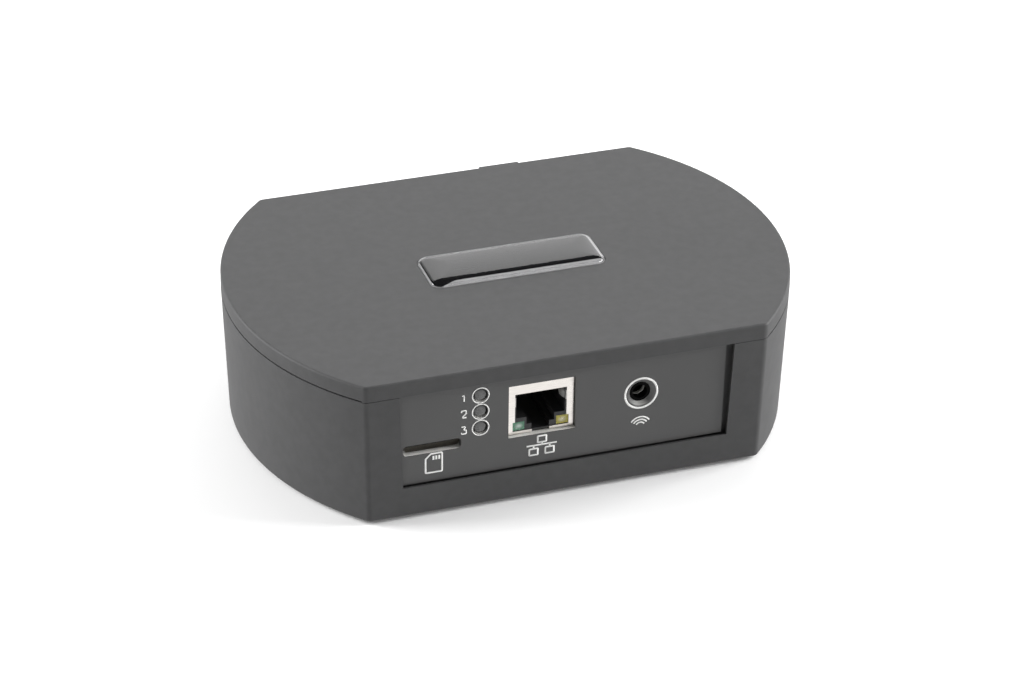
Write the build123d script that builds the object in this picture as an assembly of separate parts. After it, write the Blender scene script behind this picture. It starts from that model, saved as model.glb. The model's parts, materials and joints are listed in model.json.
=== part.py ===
from build123d import *

import math
import os

# A desk-top wireless audio transmitter. A shallow moulded tub with bowed sides carries a
# circuit board on standoffs, and a flat lid closes it. The front and rear walls each have a
# tapered window, and a flat panel drops into a groove behind it before the lid goes on.
# All sizes are in millimetres. X runs to the right as seen from the front, Y runs back, and
# Z is up from the surface that the feet stand on. Y is 0 at the middle of the case here, and
# every piece is moved at the end so that the origin is at the middle of the whole part.

# Outline of the case at the seam
flat_front = 97.5
case_depth = 94.1
side_bulge = 19.8
corner_radius = 1.8

# How far the foot of each wall stands inside its top edge, from the mould's draft
front_draft = 0.35
corner_draft = 0.7
side_draft = 1.15

# Heights and walls
foot_proud = 0.7
base_height = 32.75
lid_rim = 4.1
wall = 2.3
floor_wall = 2.3
top_wall = 2.2
bottom_round = 0.9
top_round = 0.6
seam_gap_height = 0.4
seam_gap_front = 0.12
seam_gap_depth = 0.7

# Window in the front and rear walls, and the groove behind it
window_top_width = 81.6
window_bottom_width = 79.8
sill_height = 7.95
lip = 0.8
groove_play = 0.1
jamb_reach = 1.9
jamb_back = 1.5
jamb_foot = 1.6

# Panels
panel_recess = 1.2
panel_plate = 1.6
panel_flange = 1.2
flange_reach = 1.5
flange_lap = 1.5
panel_gap_left = 0.15
panel_gap_right_low = 1.0
panel_gap_right_high = 1.6
panel_gap_bottom = 0.3
panel_gap_top = 0.2

# Lid details
lip_play = 0.15
lip_thickness = 1.2
lip_drop = 2.0
lip_half_length = 24.0
lug_width = 10.3
lug_proud = 1.3
lug_height = 2.7
lug_x = 13.9

# Badge
badge_length = 43.9
badge_width = 15.0
badge_corner = 2.8
badge_play = 0.2
badge_foil = 0.3
badge_dome_height = 1.3
badge_edge = 0.2
badge_x = 1.1
badge_y = -1.05

# Case screws and their posts
case_screw_inset = 16.05
post_radius = 3.9
boss_radius = 3.5
post_height = 20.3
shoulder_height = 11.0
screw_shank_radius = 1.45
screw_length = 15.0
screw_head_radius = 2.8
screw_head_height = 2.2
screw_play = 0.05
shank_hole_play = 0.3
head_hole_play = 0.4
boss_hole_spare = 1.5
recess_width = 0.9
recess_depth = 1.1

# Feet
foot_inset_x = 12.75
foot_inset_y = 12.05
foot_radius = 4.5
foot_thickness = 1.9
foot_play = 0.15
foot_bevel = 0.4

# Main board
board_thickness = 1.6
board_margin_x = 3.0
board_margin_y = 5.4
board_jamb_gap = 3.05
board_post_gap = 0.6
tongue_play = 0.65
board_end_play = 0.45
standoff_x = 43.0
standoff_radius = 2.9
board_screw_radius = 1.2
board_screw_length = 7.0
board_screw_head_radius = 2.2
board_screw_head_height = 1.5
board_hole_play = 0.25
pilot_spare = 1.0

# Network jack
network_web_top = 2.35
light_network_gap = 4.5
network_width = 16.0
network_height = 13.5
network_depth = 21.3
network_set_back = 1.05
network_cutout_play = 0.2
shield_sheet = 0.25
network_rim_side = 1.7
network_rim_top = 2.85
network_rim_bottom = 0.65
plug_width = 11.9
plug_height = 6.6
plug_depth = 14.0
latch_width = 6.8
latch_height = 1.9
tab_width = 4.3
network_light_width = 3.0
network_light_height = 2.3
network_light_depth = 3.0
network_light_lift = 0.1
network_light_notch = 0.55
network_light_play = 0.05
contact_pitch = 1.02
contact_count = 8
contact_width = 0.45
contact_wire = 0.35
contact_drop = 2.1
contact_reach = 8.7

# Status lights
card_light_gap = 2.95
light_drop = 3.3
light_gap = 0.55
light_count = 3
light_radius = 1.5
light_body = 4.3
light_flange_step = 0.4
light_flange = 1.0
light_recess = 0.05
light_hole_play = 0.2
light_play = 0.03
holder_width = 5.0
holder_set_back = 0.2
holder_top_wall = 2.3
lead_width = 0.5
lead_offset = 0.65
lead_start = 1.0
lead_spread = 2.0

# Card socket
card_edge_play = 0.35
card_side_wall = 0.9
card_length = 14.6
card_sheet = 0.2
card_floor = 0.5
card_pocket_width = 11.2
card_pocket_height = 1.2
card_wall_back = 1.0
card_set_back = 0.2
card_slot_margin = 1.4
card_slot_height = 2.65
card_slot_corner = 1.0
card_slot_drop = 0.45
card_slot_shift = 0.5
slider_play = 0.1
slider_width = 1.1
slider_length = 5.0
slider_hook = 1.5
slider_hook_reach = 1.8
slider_travel = 1.4
card_spring_pressed = 2.0
card_spring_wire = 0.14
card_spring_turns = 3
card_contact_pitch = 1.1
card_contact_width = 0.5
card_contact_start = 2.2
card_contact_length = 5.4
card_contact_rise = 0.5
card_contact_sheet = 0.15

# Jack for the infrared eye
network_infrared_gap = 11.8
infrared_lift = 6.25
infrared_bore = 1.8
infrared_depth = 13.0
infrared_bush_radius = 2.5
infrared_bush_set_back = 0.8
infrared_width = 9.0
infrared_length = 13.0
infrared_top_wall = 4.4
infrared_chamfer_radius = 3.35
infrared_bush_play = 0.1
spring_leaf_width = 1.6
spring_leaf = 0.3
spring_leaf_length = 8.0

# Power inlet
button_power_gap = 6.25
power_lift = 6.0
power_bore = 3.15
power_bore_depth = 9.5
power_pin_radius = 1.0
power_pin_length = 9.0
power_nose_radius = 3.9
power_nose = 1.0
power_width = 9.0
power_length = 13.6
power_top_wall = 4.6
power_nose_play = 0.2

# Line inputs
line_edge_play = 1.15
line_pitch = 14.0
line_collar_step = 0.45
line_lift = 5.9
line_shell_radius = 4.15
line_shell_wall = 0.35
line_reach = 9.4
line_hole_play = 0.15
line_centre_radius = 2.0
line_centre_bore = 1.65
line_insert_recess = 1.2
line_centre_recess = 0.6
line_block_depth = 10.0
line_block_margin = 6.4
line_block_top = 6.0

# Optical input and its shutter
line_optical_gap = 3.75
optical_width = 9.7
optical_length = 13.0
optical_height = 10.4
optical_set_back = 0.25
optical_cutout_play = 0.12
port_width = 6.2
port_height = 6.9
port_lift = 2.3
shutter_play = 0.3
shutter_thickness = 0.8
shutter_axis_drop = 0.8
shutter_axis_back = 1.1
pivot_radius = 0.5
pivot_length = 0.9
pivot_play = 0.05
receiver_width = 4.4
receiver_depth = 1.6
receiver_lens = 0.8

# Pairing button
optical_button_gap = 4.9
button_lift = 5.4
button_radius = 2.9
button_proud = 0.9
button_hole_play = 0.3
button_flange_radius = 3.8
button_flange = 0.9
button_flange_gap = 0.3
button_stem_radius = 1.4
button_stem_play = 0.05
button_stem_length = 7.0
button_bevel = 0.4
button_travel = 1.2
button_clear = 0.8
switch_width = 8.5
switch_length = 9.0
switch_top_wall = 3.6
switch_bore_spare = 2.8
button_spring_wire = 0.25
button_spring_turns = 3

# Parts on the board
processor_side = 15.0
processor_height = 1.3
processor_place = (-8.0, 2.0)
sink_base = 1.5
sink_fin = 0.8
sink_fin_height = 5.0
sink_fin_count = 6
memory_size = (11.0, 8.0, 1.1)
memory_gap = 2.0
network_chip_side = 7.0
network_chip_height = 0.9
network_chip_place = (12.0, -17.0)
converter_size = (5.3, 10.2, 1.6)
converter_place = (-25.0, 20.0)
converter_leg_count = 8
converter_leg_pitch = 1.2
converter_leg = (1.0, 0.4, 0.5)
radio_size = (18.0, 25.0, 0.8)
radio_place = (29.0, -12.0)
can_size = (15.0, 17.0, 2.0)
can_sheet = 0.3
antenna_x = 43.6
antenna_sheet = 0.5
antenna_y = (-20.0, 4.0)
antenna_height = 6.5
antenna_arm = 1.6
antenna_feed_gap = 2.4
crystal_size = (5.0, 3.2, 1.3)
crystal_place = (-22.0, 2.0)
inductor_side = 7.3
inductor_height = 4.0
inductor_chamfer = 1.4
inductor_place = (22.0, 20.0)
regulator_size = (6.5, 3.6, 1.7)
regulator_tab = (3.1, 1.8, 0.5)
regulator_place = (33.5, 18.0)
capacitor_radius = 3.15
capacitor_height = 7.2
capacitor_base = 0.9
capacitor_places = ((38.0, 9.0), (31.0, 9.0), (-38.0, 20.0))

# Heights and depths that follow from the sizes above
floor_z = foot_proud + floor_wall
seam_z = foot_proud + base_height
lid_top_z = seam_z + lid_rim
ceiling_z = lid_top_z - top_wall
sill_z = foot_proud + sill_height
post_z = foot_proud + post_height
shoulder_z = foot_proud + shoulder_height
panel_top_z = seam_z - panel_gap_top
board_z = panel_top_z - network_web_top - network_cutout_play - network_height
board_under_z = board_z - board_thickness
plate_back = panel_recess + panel_plate
panel_back = plate_back + panel_flange
groove_back = panel_back + groove_play
jamb_depth = groove_back + jamb_back
part_back = case_depth / 2 - panel_recess + line_reach
origin_y = (part_back - case_depth / 2) / 2

# Places in plan that follow from the sizes above
foot_x = flat_front / 2 - foot_inset_x
foot_y = case_depth / 2 - foot_inset_y
board_half_width = standoff_x + board_margin_x
board_half_length = case_depth / 2 - jamb_depth - board_jamb_gap
standoff_y = board_half_length - board_margin_y
case_screw_x = board_half_width + board_post_gap + post_radius
case_screw_y = case_depth / 2 - case_screw_inset
light_flange_radius = light_radius + light_flange_step
light_pitch = 2 * light_flange_radius + light_gap
line_collar_radius = line_shell_radius + line_collar_step
card_width = card_pocket_width + 2 * (card_side_wall + card_sheet)
card_slot_length = card_pocket_width + 2 * card_slot_margin
slider_end = card_length - card_sheet - card_wall_back - card_spring_pressed - slider_travel
slider_start = slider_end - slider_length
port_depth = shutter_axis_back + port_height - shutter_axis_drop + shutter_play + receiver_depth

FRONT = -1
REAR = 1
CORNERS = [(side_x, side_y) for side_x in (-1, 1) for side_y in (-1, 1)]


def window_half(z):
    """Half the width of the window at a height."""
    share = (z - sill_z) / (seam_z - sill_z)
    return (window_bottom_width + share * (window_top_width - window_bottom_width)) / 2


# Parts along the front edge of the board, each set a gap to the right of the last
card_x = -window_half(board_z) + card_edge_play + card_width / 2
light_x = card_x + card_width / 2 + card_light_gap + holder_width / 2
network_x = light_x + holder_width / 2 + light_network_gap + network_width / 2
infrared_x = network_x + network_width / 2 + network_infrared_gap + infrared_width / 2

# Parts along the rear edge, in the same way
line_block_low = -window_half(board_z) + panel_gap_left + flange_lap + line_edge_play
line_x = (line_block_low + line_block_margin, line_block_low + line_block_margin + line_pitch)
line_block_high = line_x[1] + line_block_margin
optical_x = line_block_high + line_optical_gap + optical_width / 2
button_x = optical_x + optical_width / 2 + optical_button_gap + switch_width / 2
power_x = button_x + switch_width / 2 + button_power_gap + power_width / 2


def block(x, y, z):
    """A block between the low and high ends of x, y and z."""
    ends = [sorted(pair) for pair in (x, y, z)]
    middle = [(low + high) / 2 for low, high in ends]
    return Pos(*middle) * Box(*[high - low for low, high in ends])


def around(middle, size):
    """The low and high ends of a size laid evenly around a middle."""
    return (middle - size / 2, middle + size / 2)


def post(x, y, z, radius):
    """An upright cylinder between two heights."""
    return Pos(x, y, (z[0] + z[1]) / 2) * Cylinder(radius, abs(z[1] - z[0]))


def barrel(x, y, z, radius):
    """A cylinder that lies along Y between two places."""
    turned = Rot(90, 0, 0) * Cylinder(radius, abs(y[1] - y[0]))
    return Pos(x, (y[0] + y[1]) / 2, z) * turned


def behind(side, near, far):
    """The y range between two depths behind the front or the rear wall's outer face."""
    face = side * case_depth / 2
    return tuple(sorted((face - side * near, face - side * far)))


def depth_y(side, depth):
    """The y of one depth behind the front or the rear wall's outer face."""
    return side * (case_depth / 2 - depth)


def side_profile(points, x):
    """A prism along X from points given as (y, z)."""
    low, high = sorted(x)
    face = Plane.YZ.offset(low) * make_face(Polyline(*points, close=True))
    return extrude(face, high - low, dir=(1, 0, 0))


def front_profile(points, y):
    """A prism along Y from points given as (x, z)."""
    low, high = sorted(y)
    face = Plane.XZ.offset(-high) * make_face(Polyline(*points, close=True))
    return extrude(face, high - low, dir=(0, -1, 0))


def outline(flat, depth, bulge, inset):
    """The plan of the case drawn in by inset: two straight runs joined by bowed sides."""
    half_depth = depth / 2
    bow = (half_depth**2 + bulge**2) / (2 * bulge)
    centre = flat / 2 + bulge - bow
    near = half_depth - inset
    half_flat = centre + math.sqrt((bow - inset) ** 2 - near**2)
    tip = centre + bow - inset
    edges = [
        Line((-half_flat, -near), (half_flat, -near)),
        ThreePointArc((half_flat, -near), (tip, 0), (half_flat, near)),
        Line((half_flat, near), (-half_flat, near)),
        ThreePointArc((-half_flat, near), (-tip, 0), (-half_flat, -near)),
    ]
    plan = make_face(edges)
    return fillet(plan.vertices(), corner_radius)


def plan_at(z, inset=0.0):
    """The plan of the base at a height, between its narrow foot and its full top edge."""
    drawn = 1 - (z - foot_proud) / base_height
    flat = flat_front - 2 * corner_draft * drawn
    depth = case_depth - 2 * front_draft * drawn
    half_width = flat_front / 2 + side_bulge - side_draft * drawn
    return Pos(0, 0, z) * outline(flat, depth, half_width - flat / 2, inset)


def lid_plan(z, inset=0.0):
    """The plan of the lid, which matches the top edge of the base."""
    return Pos(0, 0, z) * outline(flat_front, case_depth, side_bulge, inset)


def panel_gap_right(z):
    """The gap to the right of a panel at a height, which widens upwards."""
    share = (z - sill_z) / (seam_z - sill_z)
    return panel_gap_right_low + share * (panel_gap_right_high - panel_gap_right_low)


def tapered(z, y, left, right, right_high=None):
    """A prism with the window's slanted sides, each moved out by its own amount."""
    low, high = z
    top_right = right if right_high is None else right_high
    points = [
        (-window_half(low) - left, low),
        (window_half(low) + right, low),
        (window_half(high) + top_right, high),
        (-window_half(high) - left, high),
    ]
    return front_profile(points, y)


def cross_recess(z, width, depth, reach):
    """The cross in a screw's head, cut up or down from height z."""
    along = block(around(0, reach), around(0, width), (z, z + depth))
    return along + block(around(0, width), around(0, reach), (z, z + depth))


def make_base():
    """The tub: floor, drafted walls, jambs with grooves, screw posts and standoffs."""
    outer = loft([plan_at(foot_proud), plan_at(seam_z)], ruled=True)
    bottom = outer.faces().sort_by(Axis.Z)[0]
    outer = fillet(bottom.edges(), bottom_round)
    shell = outer - loft([plan_at(floor_z, wall), plan_at(seam_z, wall)], ruled=True)

    jamb_low = sill_z - flange_reach - jamb_foot
    groove_side = flange_reach + groove_play
    jamb_side = groove_side + jamb_reach
    for side in (FRONT, REAR):
        jamb_y = behind(side, lip, jamb_depth)
        shell += tapered((jamb_low, seam_z), jamb_y, jamb_side, jamb_side)

    sunk = floor_wall / 2
    for side_x, side_y in CORNERS:
        screw_place = (side_x * case_screw_x, side_y * case_screw_y)
        board_place = (side_x * standoff_x, side_y * standoff_y)
        shell += post(*screw_place, (floor_z - sunk, post_z), post_radius)
        shell += post(*board_place, (floor_z - sunk, board_under_z), standoff_radius)

    for side in (FRONT, REAR):
        window_y = behind(side, -wall, jamb_depth + wall)
        shell -= tapered((sill_z, seam_z + wall), window_y, 0, 0)
        groove_y = behind(side, lip, groove_back)
        groove_z = (sill_z - flange_reach, seam_z + wall)
        shell -= tapered(groove_z, groove_y, groove_side, groove_side)

    under = foot_proud - floor_wall
    pilot_z = board_z - board_screw_length - pilot_spare
    for side_x, side_y in CORNERS:
        x, y = side_x * case_screw_x, side_y * case_screw_y
        shell -= post(x, y, (under, shoulder_z), screw_head_radius + head_hole_play)
        shell -= post(x, y, (under, post_z + wall), screw_shank_radius + shank_hole_play)
        x, y = side_x * standoff_x, side_y * standoff_y
        shell -= post(x, y, (pilot_z, board_under_z + wall), board_screw_radius + screw_play)
        x, y = side_x * foot_x, side_y * foot_y
        shell -= post(x, y, (under, foot_thickness), foot_radius + foot_play)
    return shell


def make_lid():
    """The lid: a flat top with a shallow rim, side lips, screw bosses and the badge's seat."""
    rim = extrude(lid_plan(seam_z), lid_rim)
    rim = fillet(rim.faces().sort_by(Axis.Z)[-1].edges(), top_round)
    lid = rim - extrude(lid_plan(seam_z, wall), ceiling_z - seam_z)

    half_width = flat_front / 2 + side_bulge
    outside = extrude(lid_plan(seam_z, -wall), seam_gap_height)
    shadow = outside - extrude(lid_plan(seam_z, seam_gap_depth), seam_gap_height)
    sides = around(0, case_depth - 2 * seam_gap_depth)
    side_band = block((-half_width, half_width), sides, (seam_z, seam_z + seam_gap_height))
    whole_band = extrude(lid_plan(seam_z), seam_gap_front)
    lid -= shadow & (side_band + whole_band)

    drop_z = seam_z - lip_drop
    lip_outer = extrude(lid_plan(drop_z, wall + lip_play), ceiling_z - drop_z)
    lip_inner = extrude(lid_plan(drop_z, wall + lip_play + lip_thickness), ceiling_z - drop_z)
    keep = block((-half_width, half_width), around(0, 2 * lip_half_length), (drop_z, ceiling_z))
    lid += (lip_outer - lip_inner) & keep
    strip = (half_width - wall - lip_play - lip_thickness, half_width - wall)
    for side_x in (-1, 1):
        ends = tuple(side_x * end for end in strip)
        lid += block(ends, around(0, lip_thickness), (seam_z, ceiling_z)) & rim

    boss_hole_z = shoulder_z + screw_length + boss_hole_spare
    for side_x, side_y in CORNERS:
        x, y = side_x * case_screw_x, side_y * case_screw_y
        lid += post(x, y, (post_z, ceiling_z), boss_radius)
        lid -= post(x, y, (post_z, boss_hole_z), screw_shank_radius + screw_play)

    lug_y = (case_depth / 2 - wall / 2, case_depth / 2 + lug_proud)
    lug_z = (lid_top_z - top_round - lug_height, lid_top_z - top_round)
    lid += block(around(lug_x, lug_width), lug_y, lug_z)

    seat_size = (badge_length + 2 * badge_play, badge_width + 2 * badge_play)
    seat = RectangleRounded(*seat_size, badge_corner + badge_play)
    lid -= Pos(badge_x, badge_y, lid_top_z - badge_foil) * extrude(seat, badge_foil)
    return lid


def make_badge_foil():
    """The printed foil in its shallow seat."""
    face = RectangleRounded(badge_length, badge_width, badge_corner)
    return Pos(badge_x, badge_y, lid_top_z - badge_foil) * extrude(face, badge_foil)


def make_badge_dome():
    """The clear resin poured over the foil, with a full rounded edge."""
    face = RectangleRounded(badge_length, badge_width, badge_corner)
    dome = extrude(face, badge_dome_height)
    dome = fillet(dome.faces().sort_by(Axis.Z)[-1].edges(), badge_dome_height - badge_edge)
    return Pos(badge_x, badge_y, lid_top_z) * dome


def panel_blank(side):
    """A panel without its cut-outs: the plate and the flange that stands in the groove."""
    plate_z = (sill_z + panel_gap_bottom, panel_top_z)
    plate_y = behind(side, panel_recess, plate_back)
    plate_right = [-panel_gap_right(z) for z in plate_z]
    plate = tapered(plate_z, plate_y, -panel_gap_left, *plate_right)
    flange_y = behind(side, plate_back, panel_back)
    flange_z = (sill_z - flange_reach, panel_top_z)
    flange = tapered(flange_z, flange_y, flange_reach, flange_reach)
    inner_left = -panel_gap_left - flange_lap
    inner_z = (plate_z[0] + flange_lap, seam_z + wall)
    inner_right = [-panel_gap_right(z) - flange_lap for z in inner_z]
    flange -= tapered(inner_z, flange_y, inner_left, *inner_right)
    return plate + flange


def make_front_panel():
    """The front panel: network cut-out, card slot, light holes and the bevelled jack hole."""
    panel = panel_blank(FRONT)
    through = behind(FRONT, panel_recess - wall, panel_back + wall)

    half = network_width / 2 + network_cutout_play
    network_z = (board_z - network_cutout_play, board_z + network_height + network_cutout_play)
    panel -= block((network_x - half, network_x + half), through, network_z)

    slot_low = board_z - card_slot_drop
    slot = RectangleRounded(card_slot_length, card_slot_height, card_slot_corner)
    slot_x = card_x + card_slot_shift
    slot_place = Pos(slot_x, through[1], slot_low + card_slot_height / 2)
    panel -= extrude(slot_place * (Rot(90, 0, 0) * slot), through[1] - through[0], dir=(0, -1, 0))

    for number in range(light_count):
        panel -= barrel(light_x, through, light_z(number), light_radius + light_hole_play)

    z = board_z + infrared_lift
    hole = infrared_bush_radius + infrared_bush_play
    panel -= barrel(infrared_x, through, z, hole)
    bevel = Cone(hole, infrared_chamfer_radius, infrared_bush_set_back)
    bevel_y = depth_y(FRONT, panel_recess + infrared_bush_set_back / 2)
    panel -= Pos(infrared_x, bevel_y, z) * (Rot(90, 0, 0) * bevel)
    return panel


def make_rear_panel():
    """The rear panel: holes for the power inlet, button, optical input and line inputs."""
    panel = panel_blank(REAR)
    through = behind(REAR, panel_recess - wall, panel_back + wall)
    panel -= barrel(power_x, through, board_z + power_lift, power_nose_radius + power_nose_play)
    panel -= barrel(button_x, through, board_z + button_lift, button_radius + button_hole_play)
    for x in line_x:
        panel -= barrel(x, through, board_z + line_lift, line_collar_radius + line_hole_play)
    half = optical_width / 2 + optical_cutout_play
    optical_z = (board_z - optical_cutout_play, board_z + optical_height + optical_cutout_play)
    panel -= block((optical_x - half, optical_x + half), through, optical_z)
    return panel


def make_case_screws():
    """Four self-tapping screws driven up from below into the lid's bosses."""
    screws = []
    for side_x, side_y in CORNERS:
        head_z = (shoulder_z - screw_head_height, shoulder_z)
        screw = post(0, 0, head_z, screw_head_radius)
        screw += post(0, 0, (shoulder_z, shoulder_z + screw_length), screw_shank_radius)
        screw -= cross_recess(head_z[0], recess_width, recess_depth, screw_head_radius)
        screws.append(Pos(side_x * case_screw_x, side_y * case_screw_y, 0) * screw)
    return screws


def make_board_screws():
    """Four short screws that hold the board down on its standoffs."""
    screws = []
    for side_x, side_y in CORNERS:
        top = board_z + board_screw_head_height
        screw = post(0, 0, (board_z, top), board_screw_head_radius)
        screw += post(0, 0, (board_z - board_screw_length, board_z), board_screw_radius)
        screw -= cross_recess(top, recess_width, -recess_depth, board_screw_head_radius)
        screws.append(Pos(side_x * standoff_x, side_y * standoff_y, 0) * screw)
    return screws


def make_foot(side_x, side_y):
    """One rubber foot, pressed into its shallow recess with a bevelled lower edge."""
    pad = post(0, 0, (0, foot_thickness), foot_radius)
    pad = chamfer(pad.faces().sort_by(Axis.Z)[0].edges(), foot_bevel)
    return Pos(side_x * foot_x, side_y * foot_y, 0) * pad


def make_board():
    """The main board: wide between the standoffs, with a tongue into each window."""
    z = (board_under_z, board_z)
    board = block(around(0, 2 * board_half_width), around(0, 2 * board_half_length), z)
    reach = case_depth / 2 - panel_back - board_end_play
    half = window_half(board_under_z) - tongue_play
    board += block((-half, half), (-reach, reach), z)
    for side_x, side_y in CORNERS:
        hole = post(side_x * standoff_x, side_y * standoff_y, z, board_screw_radius + board_hole_play)
        board -= hole
    return board


def network_face():
    """The y of the network jack's metal face."""
    return depth_y(FRONT, panel_recess + network_set_back)


def make_network_shield():
    """The folded metal can of the network jack, open below and framed in front."""
    front = network_face()
    back = front + network_depth
    half = network_width / 2
    top = board_z + network_height
    can = block((network_x - half, network_x + half), (front, back), (board_z, top))
    inside = half - shield_sheet
    can -= block(
        (network_x - inside, network_x + inside),
        (front + shield_sheet, back - shield_sheet),
        (board_z, top - shield_sheet),
    )
    mouth = half - network_rim_side
    mouth_z = (board_z + network_rim_bottom, top - network_rim_top)
    face_y = (front, front + shield_sheet)
    can -= block((network_x - mouth, network_x + mouth), face_y, mouth_z)
    wide_mouth = 2 * (mouth + network_light_notch)
    light_top = network_light_z()[1] + network_light_lift
    can -= block(around(network_x, wide_mouth), face_y, (mouth_z[0], light_top))
    notch_z = (board_z, board_z + network_rim_bottom)
    can -= block(around(network_x, tab_width), face_y, notch_z)
    return can


def network_mouth():
    """Heights of the steps in the network jack's mouth, from the latch tab up to the roof."""
    roof = board_z + network_height - network_rim_top
    step = roof - plug_height
    return (step - latch_height, step, roof)


def network_light_z():
    """The heights of the foot and the top of the network jack's light windows."""
    low = board_z + network_rim_bottom + network_light_lift
    return (low, low + network_light_height)


def network_light_place(side_x):
    """The x and z ranges of one light window in a lower corner of the network jack."""
    outer = network_width / 2 - network_rim_side + network_light_notch
    x = (network_x + side_x * outer, network_x + side_x * (outer - network_light_width))
    return x, network_light_z()


def make_network_insert():
    """The moulded body inside the can, with the stepped mouth for the plug and its latch."""
    front = network_face() + shield_sheet
    back = network_face() + network_depth - shield_sheet
    half = network_width / 2 - shield_sheet
    top = board_z + network_height - shield_sheet
    body = block((network_x - half, network_x + half), (front, back), (board_z, top))
    tab_top, step, roof = network_mouth()
    mouth_y = (front, network_face() + plug_depth)
    body -= block(around(network_x, plug_width), mouth_y, (step, roof))
    body -= block(around(network_x, latch_width), mouth_y, (tab_top, step))
    body -= block(around(network_x, tab_width), mouth_y, (board_z + network_rim_bottom, tab_top))
    for side_x in (-1, 1):
        x, z = network_light_place(side_x)
        body -= block(x, (front, front + network_light_depth + network_light_play), z)
    return body


def make_network_light(side_x):
    """The clear window in front of one of the network jack's lights."""
    front = network_face() + shield_sheet
    x, z = network_light_place(side_x)
    x = (min(x) + network_light_play, max(x) - network_light_play)
    z = (z[0] + network_light_play, z[1] - network_light_play)
    return block(x, (front, front + network_light_depth), z)


def make_network_contacts():
    """Eight sprung wires that slant down and back from the roof of the mouth."""
    roof = network_mouth()[2]
    back = network_face() + plug_depth
    tip = back - contact_reach
    wires = []
    for number in range(contact_count):
        x = network_x + (number - (contact_count - 1) / 2) * contact_pitch
        points = [
            (tip, roof),
            (tip + contact_wire, roof),
            (back, roof - contact_drop + contact_wire),
            (back, roof - contact_drop),
            (back - contact_wire, roof - contact_drop),
        ]
        wires.append(side_profile(points, around(x, contact_width)))
    return wires


def light_z(number):
    """The height of one status light above the table, counted from the lowest."""
    return panel_top_z - light_drop - (light_count - 1 - number) * light_pitch


def light_front():
    """The y of the tip of each status light."""
    return depth_y(FRONT, panel_recess + light_recess)


def make_light(number):
    """One status light: domed body, flange and two leads bent down to the board."""
    tip = light_front()
    back = tip + light_body + light_flange
    z = light_z(number)
    lamp = barrel(light_x, (tip + light_radius, back), z, light_radius)
    lamp += Pos(light_x, tip + light_radius, z) * Sphere(light_radius)
    lamp += barrel(light_x, (back - light_flange, back), z, light_flange_radius)
    drop = back + lead_start + lead_spread * number
    for side_x in (-1, 1):
        x = around(light_x + side_x * lead_offset, lead_width)
        lamp += block(x, (back - light_flange / 2, drop + lead_width), around(z, lead_width))
        lamp += block(x, (drop, drop + lead_width), (board_z, z + lead_width / 2))
    return lamp


def make_light_holder():
    """The upright holder that stacks the status lights behind their holes."""
    front = depth_y(FRONT, plate_back + holder_set_back)
    back = light_front() + light_body
    top = light_z(light_count - 1) + holder_top_wall
    holder = block(around(light_x, holder_width), (front, back), (board_z, top))
    for number in range(light_count):
        holder -= barrel(light_x, (front, back), light_z(number), light_radius + light_play)
    return holder


def card_front():
    """The y of the card socket's mouth."""
    return depth_y(FRONT, panel_back + card_set_back)


def card_cover_z():
    """The heights of the underside and the top of the card socket's cover."""
    low = board_z + card_floor + card_pocket_height
    return (low, low + card_sheet)


def make_card_frame():
    """The moulded floor and walls of the card socket."""
    front = card_front()
    inner_width = card_width - 2 * card_sheet
    inner_back = front + card_length - card_sheet
    top = card_cover_z()[0]
    frame = block(around(card_x, inner_width), (front, inner_back), (board_z, top))
    pocket_y = (front, inner_back - card_wall_back)
    frame -= block(around(card_x, card_pocket_width), pocket_y, (board_z + card_floor, top))
    return frame


def make_card_cover():
    """The stamped cover of the card socket, folded down on both sides and at the back."""
    front = card_front()
    y = (front, front + card_length)
    low, top = card_cover_z()
    cover = block(around(card_x, card_width), y, (board_z, top))
    inner_width = card_width - 2 * card_sheet
    cover -= block(around(card_x, inner_width), (y[0], y[1] - card_sheet), (board_z, low))
    return cover


def slider_place():
    """The x range, rest y range and z range of the card socket's slider."""
    wall_x = card_x + card_pocket_width / 2 - slider_play
    front = card_front() + slider_start
    z = (board_z + card_floor + slider_play, card_cover_z()[0] - slider_play)
    return (wall_x - slider_width, wall_x), (front, front + slider_length), z


def make_card_slider():
    """The slider that the card pushes back against its spring, with its inner hook."""
    x, y, z = slider_place()
    slider = block(x, y, z)
    slider += block((x[0] - slider_hook_reach, x[0]), (y[1] - slider_hook, y[1]), z)
    return slider


def coil(x, z, y, radius, wire, turns):
    """A small helical spring along Y between two places, as one unbroken wire."""
    run = y[1] - y[0] - 2 * wire
    path = Helix(run / turns, run, radius)
    start = path @ 0
    section = Plane(origin=start, z_dir=path % 0) * RegularPolygon(wire, 4)
    spring = sweep(section, path=path)
    return Pos(x, y[0] + wire, z) * (Rot(-90, 0, 0) * spring)


def make_card_spring():
    """The spring behind the card socket's slider."""
    x, y, z = slider_place()
    back = card_front() + card_length - card_sheet - card_wall_back
    radius = (z[1] - z[0]) / 2 - card_spring_wire
    middle_x = (x[0] + x[1]) / 2
    middle_z = (z[0] + z[1]) / 2
    span = (y[1] + slider_play, back - slider_play)
    return coil(middle_x, middle_z, span, radius, card_spring_wire, card_spring_turns)


def make_card_contacts():
    """Eight flat springs on the socket's floor, each rising to touch the card."""
    front = card_front() + card_contact_start
    floor_top = board_z + card_floor
    leaves = []
    for number in range(contact_count):
        x = card_x + (number - (contact_count - 1) / 2) * card_contact_pitch - slider_width
        end = front + card_contact_length
        points = [
            (front, floor_top),
            (front + card_contact_length / 2, floor_top),
            (end, floor_top + card_contact_rise),
            (end, floor_top + card_contact_rise + card_contact_sheet),
            (front + card_contact_length / 2, floor_top + card_contact_sheet),
            (front, floor_top + card_contact_sheet),
        ]
        leaves.append(side_profile(points, around(x, card_contact_width)))
    return leaves


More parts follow.
